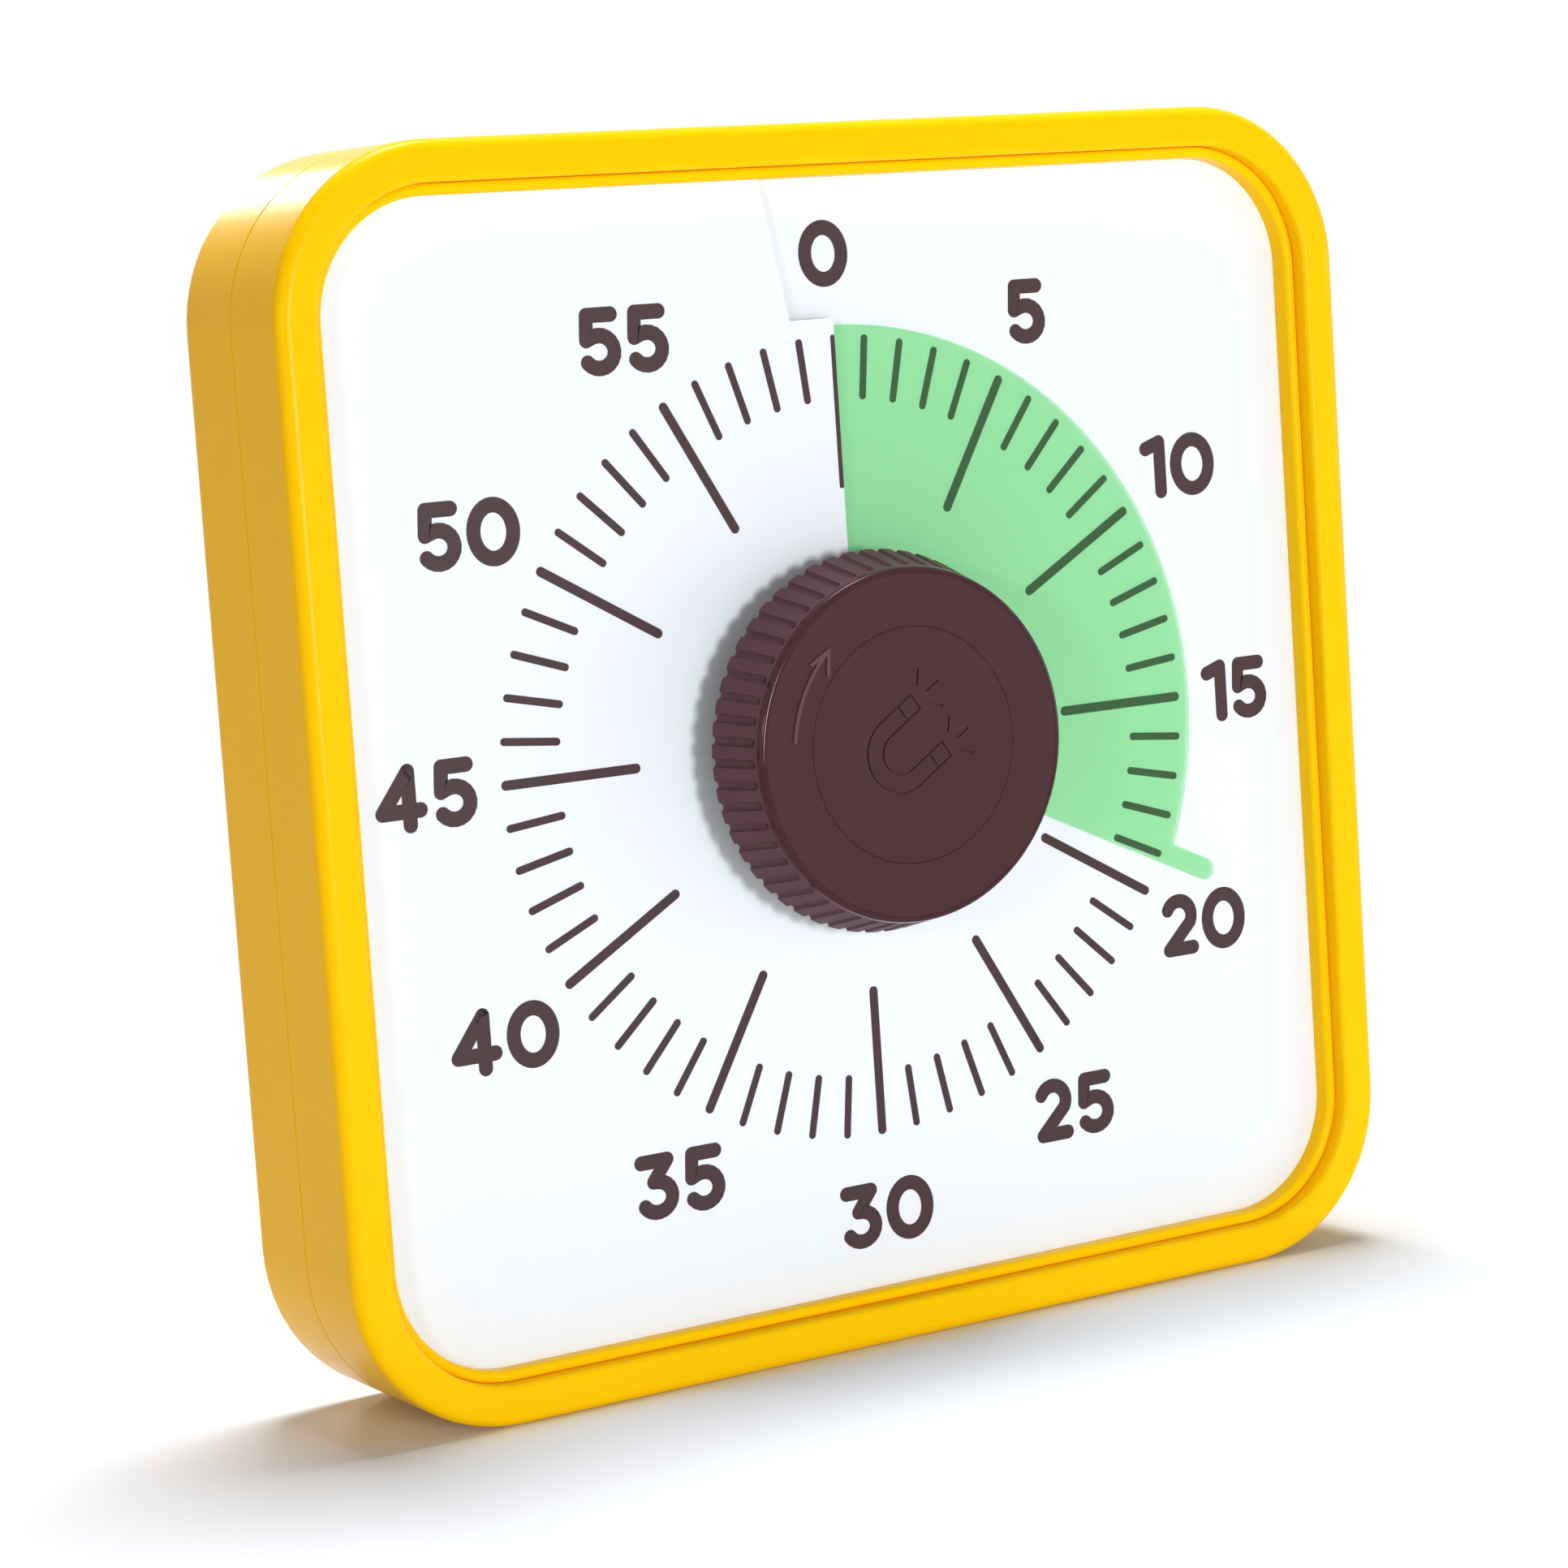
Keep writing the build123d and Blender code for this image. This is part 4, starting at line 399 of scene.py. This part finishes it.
def card_finish(base):
    """Printed plastic card with a faint sheen and mottling."""
    finish = Finish("card_stock")
    fibres = finish.noise(900.0, detail=4.0)
    clouds = finish.noise(9.0)
    finish.surface(
        Base_Color=finish.uneven(base, 0.98, 1.0, clouds),
        Roughness=within(0.34, 0.42, fibres),
        Normal=finish.bump(fibres, 0.006 * MM),
        Specular_IOR_Level=0.3,
    )
    return finish


def ink_finish(base):
    """Screen-printed ink with a slightly uneven film."""
    finish = Finish("printed_ink")
    specks = finish.noise(1800.0, detail=3.0)
    finish.surface(
        Base_Color=finish.uneven(base, 0.85, 1.15, specks),
        Roughness=within(0.42, 0.52, specks),
        Specular_IOR_Level=0.3,
    )
    return finish


def film_finish(tint, face):
    """Thin coloured film that tints what is behind it."""
    finish = Finish("green_film")
    clouds = finish.noise(30.0)
    finish.surface(
        Base_Color=finish.uneven(face, 0.96, 1.03, clouds),
        Roughness=within(0.3, 0.38, clouds),
        Specular_IOR_Level=0.3,
    )
    through = finish.node("ShaderNodeBsdfTransparent", values={"Color": tint})
    finish.show(finish.node("ShaderNodeMixShader", values={0: FILM_BODY, 1: through, 2: finish.solid()}))
    return finish


def metal_finish(name, base, roughness, stretch=EVEN):
    """Metal with fine drawn or turned marks."""
    finish = Finish(name)
    marks = finish.noise(1500.0, detail=3.0, stretch=stretch)
    tarnish = finish.noise(120.0)
    finish.surface(
        Base_Color=finish.uneven(base, 0.85, 1.05, tarnish),
        Metallic=1.0,
        Roughness=within(roughness - 0.06, roughness + 0.1, marks),
        Normal=finish.bump(marks, 0.004 * MM),
    )
    return finish


def winding_finish():
    """Enamelled copper wire wound side by side."""
    finish = Finish("copper_winding")
    settings = {"wave_type": "BANDS", "bands_direction": "Z"}
    values = {"Vector": finish.place(), "Scale": 600.0}
    turns = finish.node("ShaderNodeTexWave", settings, values, output="Fac")
    finish.surface(
        Base_Color=finish.uneven(srgb(196, 96, 52), 0.5, 1.0, turns),
        Metallic=0.8,
        Roughness=0.3,
        Normal=finish.bump(turns, 0.05 * MM),
    )
    return finish


def board_finish():
    """Solder mask over copper tracks, which follow the edges of a cell pattern."""
    finish = Finish("circuit_board")
    values = {"Vector": finish.place(), "Scale": 260.0}
    edges = finish.node("ShaderNodeTexVoronoi", {"feature": "DISTANCE_TO_EDGE"}, values, output="Distance")
    plain = finish.fade(edges, 0.06, 0.1)
    finish.surface(
        Base_Color=finish.blend(srgb(60, 140, 80), srgb(20, 84, 48), plain),
        Roughness=within(0.35, 0.45, plain),
        Normal=finish.bump(1 - plain, 0.04 * MM),
    )
    return finish


def cell_finish():
    """Printed jacket of a battery, with a band at its nose and bare metal at both ends."""
    finish = Finish("battery_jacket")
    low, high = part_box("battery")
    across = finish.axis("X")
    band_start = high.x - BAND_START
    band = finish.fade(across, band_start, band_start + BAND_FADE)
    jacket = finish.blend(srgb(38, 44, 54), srgb(190, 150, 80), band)
    ends = (across > high.x - NOSE_BARE) + (across < low.x + TAIL_BARE)
    finish.surface(
        Base_Color=finish.blend(jacket, srgb(200, 200, 204), ends),
        Metallic=ends,
        Roughness=within(0.25, 0.35, finish.noise(300.0)),
    )
    return finish


def dress(finish, *names):
    """Gives CAD nodes a finish."""
    for name in names:
        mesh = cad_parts[name].data
        mesh.materials.clear()
        mesh.materials.append(finish.material)


# Meshes and objects


def finished_mesh(name, bm):
    """Mesh of what has been drawn, which ends the drawing."""
    mesh = bpy.data.meshes.new(name)
    bm.to_mesh(mesh)
    bm.free()
    return mesh


def add_object(name, data):
    """New object in the scene."""
    made = bpy.data.objects.new(name, data)
    bpy.context.scene.collection.objects.link(made)
    return made


def directions(points, closed):
    """Unit directions into and out of each point of a path."""
    count = len(points)
    out = [(points[(i + 1) % count] - points[i]).normalized() for i in range(count)]
    into = [out[i - 1] for i in range(count)]
    if not closed:
        into[0] = out[0]
        out[-1] = into[-1]
    return into, out


def left_of(direction):
    """The direction a quarter turn to the left."""
    return Vector((-direction.y, direction.x))


def round_end(point, direction, half):
    """Edge points round the end of a stroke, in pairs, from its sides to its tip."""
    pairs = []
    for k in range(1, ROUND_STEPS + 1):
        bearing = math.pi / 2 * k / ROUND_STEPS
        tip = point + direction * half * math.sin(bearing)
        reach = left_of(direction) * half * math.cos(bearing)
        pairs.append((tip + reach, tip - reach))
    return pairs


def round_corner(point, into, turn, half, inner):
    """Edge points at a sharp corner, in pairs: the outer ones swing round while the inner ones wait."""
    turns_right = turn > 0
    start = left_of(into) * (half if turns_right else -half)
    inside = point - inner if turns_right else point + inner
    pairs = []
    for k in range(ROUND_STEPS + 1):
        spoke = start.copy()
        spoke.rotate(Matrix.Rotation(-turn * k / ROUND_STEPS, 2))
        pairs.append((point + spoke, inside) if turns_right else (inside, point + spoke))
    return pairs


def stroke_rails(points, width, closed=False):
    """Left and right edges of a stroke with round ends and corners, in pairs."""
    half = width / 2
    into, out = directions(points, closed)
    rails = []
    for i, point in enumerate(points):
        turn = into[i].angle_signed(out[i], 0.0)
        inner = left_of((into[i] + out[i]).normalized()) * (half / math.cos(turn / 2))
        if abs(turn) < SHARP_TURN:
            rails.append((point + inner, point - inner))
        else:
            rails += round_corner(point, into[i], turn, half, inner)
    if closed:
        return rails + rails[:1]
    first_end = [(right, left) for left, right in reversed(round_end(points[0], -out[0], half))]
    return first_end + rails + round_end(points[-1], into[-1], half)


def on_ramp(sizes, point, lift, share):
    """Place of a flat point on the ramp, about the dial's axis, at this lift.

    share is the share of a turn that sets its level, or None for the point's own.
    """
    if share is None:
        share = math.atan2(point.x, point.y) / math.tau % 1.0
    height = sizes.front + sizes.rise * (share - 1.0) + lift
    return Vector((point.x, -height, point.y))


def print_stroke(bm, rails, sizes, share=None):
    """Thin closed solid between two rails, from inside the card to the top of the ink."""
    rings = []
    for left, right in rails:
        corners = ((left, sizes.ink), (right, sizes.ink), (right, -sizes.bed), (left, -sizes.bed))
        rings.append([bm.verts.new(on_ramp(sizes, point, lift, share)) for point, lift in corners])
    for first, second in zip(rings, rings[1:]):
        for k in range(len(first)):
            bm.faces.new((first[k - 1], second[k - 1], second[k], first[k]))


def print_on_card(name, bm, ink):
    """Closes the strokes, moves them to the dial's axis and makes them a piece of the case."""
    bmesh.ops.remove_doubles(bm, verts=bm.verts, dist=MERGE_REACH)
    bmesh.ops.dissolve_degenerate(bm, edges=bm.edges, dist=EMPTY_EDGE)
    bmesh.ops.recalc_face_normals(bm, faces=bm.faces)
    bmesh.ops.translate(bm, vec=DIAL_AXIS, verts=bm.verts)
    mesh = finished_mesh(name, bm)
    mesh.materials.append(ink.material)
    piece = add_object(name, mesh)
    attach(piece, "case")


# Numerals


def arc(middle, radii, start, end, steps=14):
    """Points on an ellipse, from start to end in degrees."""
    points = []
    for k in range(steps + 1):
        bearing = math.radians(start + (end - start) * k / steps)
        points.append((middle[0] + radii[0] * math.cos(bearing), middle[1] + radii[1] * math.sin(bearing)))
    return points


def figure_strokes(figure):
    """Width of a figure, its middle lines, and whether each line is closed."""
    top = FIGURE_HEIGHT
    if figure == "0":
        centre = (3.35, top / 2)
        return 6.7, [(arc(centre, centre, 0, 360, 40)[:-1], True)]
    if figure == "1":
        return 2.8, [([(0.0, 7.15), (2.8, top), (2.8, 0.0)], False)]
    if figure == "2":
        hook = arc((2.55, 5.55), (2.55, 2.55), 152, -28)
        return 5.2, [(hook + [(0.25, 0.0), (5.2, 0.0)], False)]
    if figure == "3":
        bar = [(0.1, top), (4.75, top), (2.15, 4.85)]
        bowl = arc((2.65, 2.42), (2.7, 2.42), 80, -148)
        return 5.4, [(bar + bowl, False)]
    if figure == "4":
        arms = [(4.5, top), (0.0, 2.15), (6.3, 2.15)]
        stem = [(4.5, top), (4.5, 0.0)]
        return 6.3, [(arms, False), (stem, False)]
    if figure == "5":
        flag = [(4.75, top), (0.55, top), (0.3, 4.35)]
        bowl = arc((2.45, 2.5), (2.65, 2.5), 112, -142)
        return 5.1, [(flag + bowl, False)]
    raise ValueError(f"no strokes for figure {figure}")


class TIMER_OT_print_numerals(bpy.types.Operator):
    """Print the minute numerals on the card"""

    bl_idname = "timer.print_numerals"
    bl_label = "Print numerals"

    def execute(self, context):
        sizes = context.scene.timer_dial
        bm = bmesh.new()
        for minute in range(0, MINUTES, LABEL_STEP):
            self.print_numeral(bm, minute, sizes)
        print_on_card("dial_numerals", bm, ink_finish(context.scene.timer_colours.ink))
        return {"FINISHED"}

    def print_numeral(self, bm, minute, sizes):
        """One upright numeral, centred on its place; the 0 lies all on the low side of the slit."""
        stroke = sizes.numeral_stroke
        scale = (sizes.numeral_height - stroke) / FIGURE_HEIGHT
        bearing = math.tau * minute / MINUTES
        radius = sizes.near_radius if minute in NEARER_LABELS else sizes.numeral_radius
        middle = radius * Vector((math.sin(bearing), math.cos(bearing)))
        figures = [figure_strokes(figure) for figure in str(minute)]
        widths = [width * scale + stroke for width, lines in figures]
        left = middle.x - (sum(widths) + sizes.numeral_gap * (len(widths) - 1)) / 2
        share = 0.0 if minute == 0 else None
        for width, (_, lines) in zip(widths, figures):
            corner = Vector((left + stroke / 2, middle.y - FIGURE_HEIGHT / 2 * scale))
            for points, closed in lines:
                path = [corner + Vector(point) * scale for point in points]
                print_stroke(bm, stroke_rails(path, stroke, closed), sizes, share)
            left += width + sizes.numeral_gap


# Minute marks

RING_INPUTS = {
    "Mark": "Geometry",
    "Count": "Int",
    "Step": "Float",
    "Rise": "Float",
    "Skip": "Int",
    "Ink": "Material",
}


def mark_ring_tree():
    """Node tree that repeats one minute mark clockwise round the dial, up the ramp.

    Step is the angle from mark to mark. A mark whose number divides by Skip is left out.
    """
    tree = bpy.data.node_groups.new("minute_marks", "GeometryNodeTree")
    for name, kind in RING_INPUTS.items():
        tree.interface.new_socket(name=name, in_out="INPUT", socket_type=f"NodeSocket{kind}")
    tree.interface.new_socket(name="Marks", in_out="OUTPUT", socket_type="NodeSocketGeometry")

    ring = Nodes(tree)
    mark, count, step, rise, skip, ink = ring.outputs("NodeGroupInput", RING_INPUTS)
    climb = ring.node("ShaderNodeCombineXYZ", values={"Y": rise * step / -math.tau})
    line = {"Count": count, "Start Location": climb, "Offset": climb}
    stations = ring.node("GeometryNodeMeshLine", {"mode": "OFFSET"}, line)
    number = ring.node("GeometryNodeInputIndex") + 1.0
    skipped = number % skip < HALF
    turned = ring.node("ShaderNodeCombineXYZ", values={"Y": number * step})
    places = {"Points": stations, "Selection": 1.0 - skipped, "Instance": mark, "Rotation": turned}
    copies = ring.node("GeometryNodeInstanceOnPoints", values=places)
    solid = ring.node("GeometryNodeRealizeInstances", values={"Geometry": copies})
    inked = ring.node("GeometryNodeSetMaterial", values={"Geometry": solid, "Material": ink})
    ring.fill(tree.nodes.new("NodeGroupOutput").inputs["Marks"], inked)
    return tree


def mark_mesh(sizes, inner, width):
    """One round-ended mark at the top of the dial, about the dial's axis."""
    bm = bmesh.new()
    path = [Vector((0.0, inner + width / 2)), Vector((0.0, sizes.tick_outer - width / 2))]
    print_stroke(bm, stroke_rails(path, width), sizes, share=0.0)
    return finished_mesh("minute_mark", bm)


def ring_of_marks(tree, mark, values):
    """Mesh of the mark repeated by the node tree with these inputs."""
    holder = add_object("mark_holder", mark)
    modifier = holder.modifiers.new("marks", "NODES")
    modifier.node_group = tree
    for item in tree.interface.items_tree:
        if item.in_out == "INPUT" and item.name in values:
            modifier[item.identifier] = values[item.name]
    ready = holder.evaluated_get(bpy.context.evaluated_depsgraph_get())
    ring = bpy.data.meshes.new_from_object(ready)
    holder.modifiers.clear()
    bpy.data.objects.remove(holder)
    return ring


class TIMER_OT_print_marks(bpy.types.Operator):
    """Print the minute marks on the card"""

    bl_idname = "timer.print_marks"
    bl_label = "Print minute marks"

    def execute(self, context):
        sizes = context.scene.timer_dial
        ink = ink_finish(context.scene.timer_colours.ink)
        tree = mark_ring_tree()
        minute = math.tau / MINUTES
        labels = MINUTES // LABEL_STEP
        given = {"Rise": sizes.rise, "Ink": ink.material}
        long_mark = mark_mesh(sizes, sizes.long_inner, sizes.long_width)
        short_mark = mark_mesh(sizes, sizes.short_inner, sizes.short_width)
        # Both rings leave out the mark at 0, which the slit splits
        long_ring = {"Count": labels - 1, "Step": minute * LABEL_STEP, "Skip": labels}
        short_ring = {"Count": MINUTES - 1, "Step": minute, "Skip": LABEL_STEP}
        bm = bmesh.new()
        bm.from_mesh(ring_of_marks(tree, long_mark, given | long_ring))
        bm.from_mesh(ring_of_marks(tree, short_mark, given | short_ring))
        self.print_zero_mark(bm, sizes)
        print_on_card("minute_marks", bm, ink)
        return {"FINISHED"}

    def print_zero_mark(self, bm, sizes):
        """Half a mark on each side of the slit, each at its own level."""
        width = sizes.long_width / 2
        span = (sizes.long_inner + width / 2, sizes.tick_outer - width / 2)
        for side, share in ((1, 0.0), (-1, 1.0)):
            path = [Vector((side * width / 2, reach)) for reach in span]
            print_stroke(bm, stroke_rails(path, width), sizes, share)


# Finishes of the CAD pieces


class TIMER_OT_finish_case(bpy.types.Operator):
    """Give the case, door and slider their moulded finishes"""

    bl_idname = "timer.finish_case"
    bl_label = "Finish case"

    def execute(self, context):
        colours = context.scene.timer_colours
        yellow = moulded_finish(
            "case_yellow", colours.case, roughness=0.22, grain=500.0, depth=0.003 * MM, specular=0.06
        )
        brown = moulded_finish("slider_brown", colours.knob, roughness=0.4, grain=2000.0)
        dress(yellow, "front_shell", "rear_shell", "battery_door")
        dress(brown, "volume_slider")
        return {"FINISHED"}


class TIMER_OT_finish_dial(bpy.types.Operator):
    """Give the card, its carrier and the film their finishes"""

    bl_idname = "timer.finish_dial"
    bl_label = "Finish dial"

    def execute(self, context):
        colours = context.scene.timer_colours
        white = moulded_finish("carrier_white", srgb(232, 232, 228), roughness=0.5, grain=1200.0)
        dress(card_finish(colours.card), "dial_card")
        dress(film_finish(colours.film, colours.film_face), "film_disc")
        dress(white, "dial_carrier", "film_hub")
        return {"FINISHED"}


class TIMER_OT_finish_knob(bpy.types.Operator):
    """Give the knob and its cap a matt finish with a paler drawing"""

    bl_idname = "timer.finish_knob"
    bl_label = "Finish knob"

    def execute(self, context):
        colours = context.scene.timer_colours
        dress(knob_finish("knob_brown", colours, colours.arrow, raised=True), "knob_body")
        # The cap's pictogram takes a paler tone as painted light, cancelling the shade in its recess
        dress(knob_finish("cap_brown", colours, colours.pictogram, raised=False), "knob_cap")
        return {"FINISHED"}


class TIMER_OT_finish_movement(bpy.types.Operator):
    """Give the arbor, clutch, gears, motor and screws their finishes"""

    bl_idname = "timer.finish_movement"
    bl_label = "Finish movement"

    def execute(self, context):
        steel = metal_finish("plain_steel", srgb(200, 201, 205), roughness=0.3, stretch=TURNED)
        brass = metal_finish("turned_brass", srgb(222, 178, 96), roughness=0.28, stretch=TURNED)
        nickel = metal_finish("nickel_plate", srgb(182, 181, 177), roughness=0.22)
        acetal = moulded_finish("acetal", srgb(232, 226, 206), roughness=0.38, grain=1500.0, depth=0.006 * MM)
        black = moulded_finish("black_moulding", srgb(38, 38, 40), roughness=0.5, grain=1800.0)
        dress(steel, "knob_arbor", "knob_screw", "clutch_spring", "rotor", "stator")
        dress(steel, "case_screws", "movement_screws", "board_screws")
        dress(brass, "clutch_collar", "arbor_bush")
        dress(nickel, "back_magnets", "plate_contact", "spring_contact")
        dress(acetal, "centre_wheel", "third_wheel", "fourth_wheel")
        dress(black, "movement_front", "movement_rear", "volume_switch", "buzzer")
        dress(winding_finish(), "coil")
        return {"FINISHED"}


class TIMER_OT_finish_electrics(bpy.types.Operator):
    """Give the battery, circuit board and leads their finishes"""

    bl_idname = "timer.finish_electrics"
    bl_label = "Finish electrics"

    def execute(self, context):
        red = moulded_finish("red_insulation", srgb(196, 40, 34), roughness=0.45, grain=900.0)
        black = moulded_finish("black_insulation", srgb(30, 30, 32), roughness=0.45, grain=900.0)
        enamel = metal_finish("enamelled_wire", srgb(190, 98, 58), roughness=0.3)
        dress(cell_finish(), "battery")
        dress(board_finish(), "circuit_board")
        dress(red, "red_lead")
        dress(black, "black_lead", "buzzer_leads")
        dress(enamel, "coil_leads")
        return {"FINISHED"}


# Studio


def floor_finish(base, shown):
    """Floor that takes shadows near the timer and fades to plain white.

    It lights the timer in its base colour, and the camera sees the shown one.
    """
    finish = Finish("studio_floor")
    seen = finish.seen()
    finish.surface(Base_Color=finish.blend(base, shown, seen), Roughness=0.9, Specular_IOR_Level=0.0)
    far = finish.fade(finish.distance((0.0, 0.0, 0.0)), FLOOR_NEAR, FLOOR_FAR)
    plain = finish.node("ShaderNodeEmission", values={"Color": WHITE, "Strength": 1.0})
    finish.show(finish.node("ShaderNodeMixShader", values={0: far * seen, 1: finish.solid(), 2: plain}))
    return finish


def add_lamp(name, watts, place, side, tint=WHITE):
    """Square soft lamp that points at the middle of the dial, with its place and side in metres."""
    data = bpy.data.lights.new(name, "AREA")
    data.shape = "SQUARE"
    data.size = side
    data.energy = watts
    data.color = tint[:3]
    lamp = add_object(name, data)
    lamp.location = place
    lamp.rotation_euler = (DIAL_AXIS - Vector(place)).to_track_quat("-Z", "Y").to_euler()
    lamp.visible_camera = False


class TIMER_OT_set_stage(bpy.types.Operator):
    """Add the floor, surround, lamps and camera"""

    bl_idname = "timer.set_stage"
    bl_label = "Set stage"

    def execute(self, context):
        scene = context.scene
        sizes = scene.timer_stage
        self.add_floor(scene.timer_colours)
        self.light_surround(scene, sizes.sky)
        add_lamp("key_lamp", sizes.key, place=(0.06, -1.25, 0.14), side=0.28)
        add_lamp("fill_lamp", sizes.fill, place=(-0.95, -0.7, 0.3), side=0.12)
        add_lamp("left_lamp", sizes.left, place=(-1.1, 0.02, 0.2), side=0.5, tint=sizes.warmth)
        add_lamp("top_lamp", sizes.top, place=(0.1, 0.12, 1.1), side=0.4)
        add_lamp("rim_lamp", sizes.rim, place=(0.05, 1.1, 0.6), side=0.25)
        add_lamp("right_lamp", sizes.right, place=(0.55, -0.3, 0.08), side=0.3)
        self.add_camera(scene, sizes)
        scene.view_settings.view_transform = "Standard"
        return {"FINISHED"}

    def add_floor(self, colours):
        """Floor that the timer stands on."""
        bm = bmesh.new()
        bmesh.ops.create_grid(bm, x_segments=1, y_segments=1, size=FLOOR_REACH)
        mesh = finished_mesh("floor", bm)
        mesh.materials.append(floor_finish(colours.floor, colours.floor_seen).material)
        add_object("floor", mesh)

    def light_surround(self, scene, strength):
        """Dim light from all round, which the camera sees as white."""
        world = bpy.data.worlds.new("studio")
        scene.world = world
        world.use_nodes = True
        surround = Shader(world.node_tree, "World Output")
        light = surround.node("ShaderNodeBackground", values={"Color": WHITE, "Strength": strength})
        backdrop = surround.node("ShaderNodeBackground", values={"Color": WHITE, "Strength": 1.0})
        values = {0: surround.seen(), 1: light, 2: backdrop}
        surround.show(surround.node("ShaderNodeMixShader", values=values))

    def add_camera(self, scene, sizes):
        """Camera in front of the timer, to the left and above."""
        data = bpy.data.cameras.new("camera")
        data.lens = sizes.lens
        data.sensor_width = SENSOR_WIDTH
        data.clip_start = NEAREST_SEEN
        camera = add_object("camera", data)
        heading = Matrix.Rotation(sizes.heading, 4, "Z")
        pitch = Matrix.Rotation(math.pi / 2 - sizes.pitch, 4, "X")
        roll = Matrix.Rotation(sizes.roll, 4, "Z")
        camera.matrix_world = Matrix.Translation(Vector(sizes.camera)) @ heading @ pitch @ roll
        scene.camera = camera


# Panel and registration


class TIMER_PT_panel(bpy.types.Panel):
    """Sizes, colours and steps of the timer's finishes"""

    bl_idname = "TIMER_PT_panel"
    bl_label = "Visual Timer"
    bl_space_type = "VIEW_3D"
    bl_region_type = "UI"
    bl_category = "Timer"

    def draw(self, context):
        layout = self.layout
        for group in (context.scene.timer_dial, context.scene.timer_colours, context.scene.timer_stage):
            box = layout.box()
            for name in group.bl_rna.properties.keys():
                if name not in {"rna_type", "name"}:
                    box.prop(group, name)
        for step in STEPS:
            layout.operator(step.bl_idname)


STEPS = (
    TIMER_OT_finish_case,
    TIMER_OT_finish_dial,
    TIMER_OT_finish_knob,
    TIMER_OT_finish_movement,
    TIMER_OT_finish_electrics,
    TIMER_OT_print_marks,
    TIMER_OT_print_numerals,
    TIMER_OT_set_stage,
)
GROUPS = {"timer_dial": TimerDialSizes, "timer_colours": TimerColours, "timer_stage": TimerStageSizes}


def register():
    for group in GROUPS.values():
        bpy.utils.register_class(group)
    for name, group in GROUPS.items():
        setattr(bpy.types.Scene, name, bpy.props.PointerProperty(type=group))
    for step in STEPS:
        bpy.utils.register_class(step)
    bpy.utils.register_class(TIMER_PT_panel)


def unregister():
    bpy.utils.unregister_class(TIMER_PT_panel)
    for step in reversed(STEPS):
        bpy.utils.unregister_class(step)
    for name in GROUPS:
        delattr(bpy.types.Scene, name)
    for group in GROUPS.values():
        bpy.utils.unregister_class(group)


def main():
    register()
    bpy.ops.timer.finish_case()
    bpy.ops.timer.finish_dial()
    bpy.ops.timer.finish_knob()
    bpy.ops.timer.finish_movement()
    bpy.ops.timer.finish_electrics()
    bpy.ops.timer.print_marks()
    bpy.ops.timer.print_numerals()
    bpy.ops.timer.set_stage()


if __name__ == "__main__":
    main()
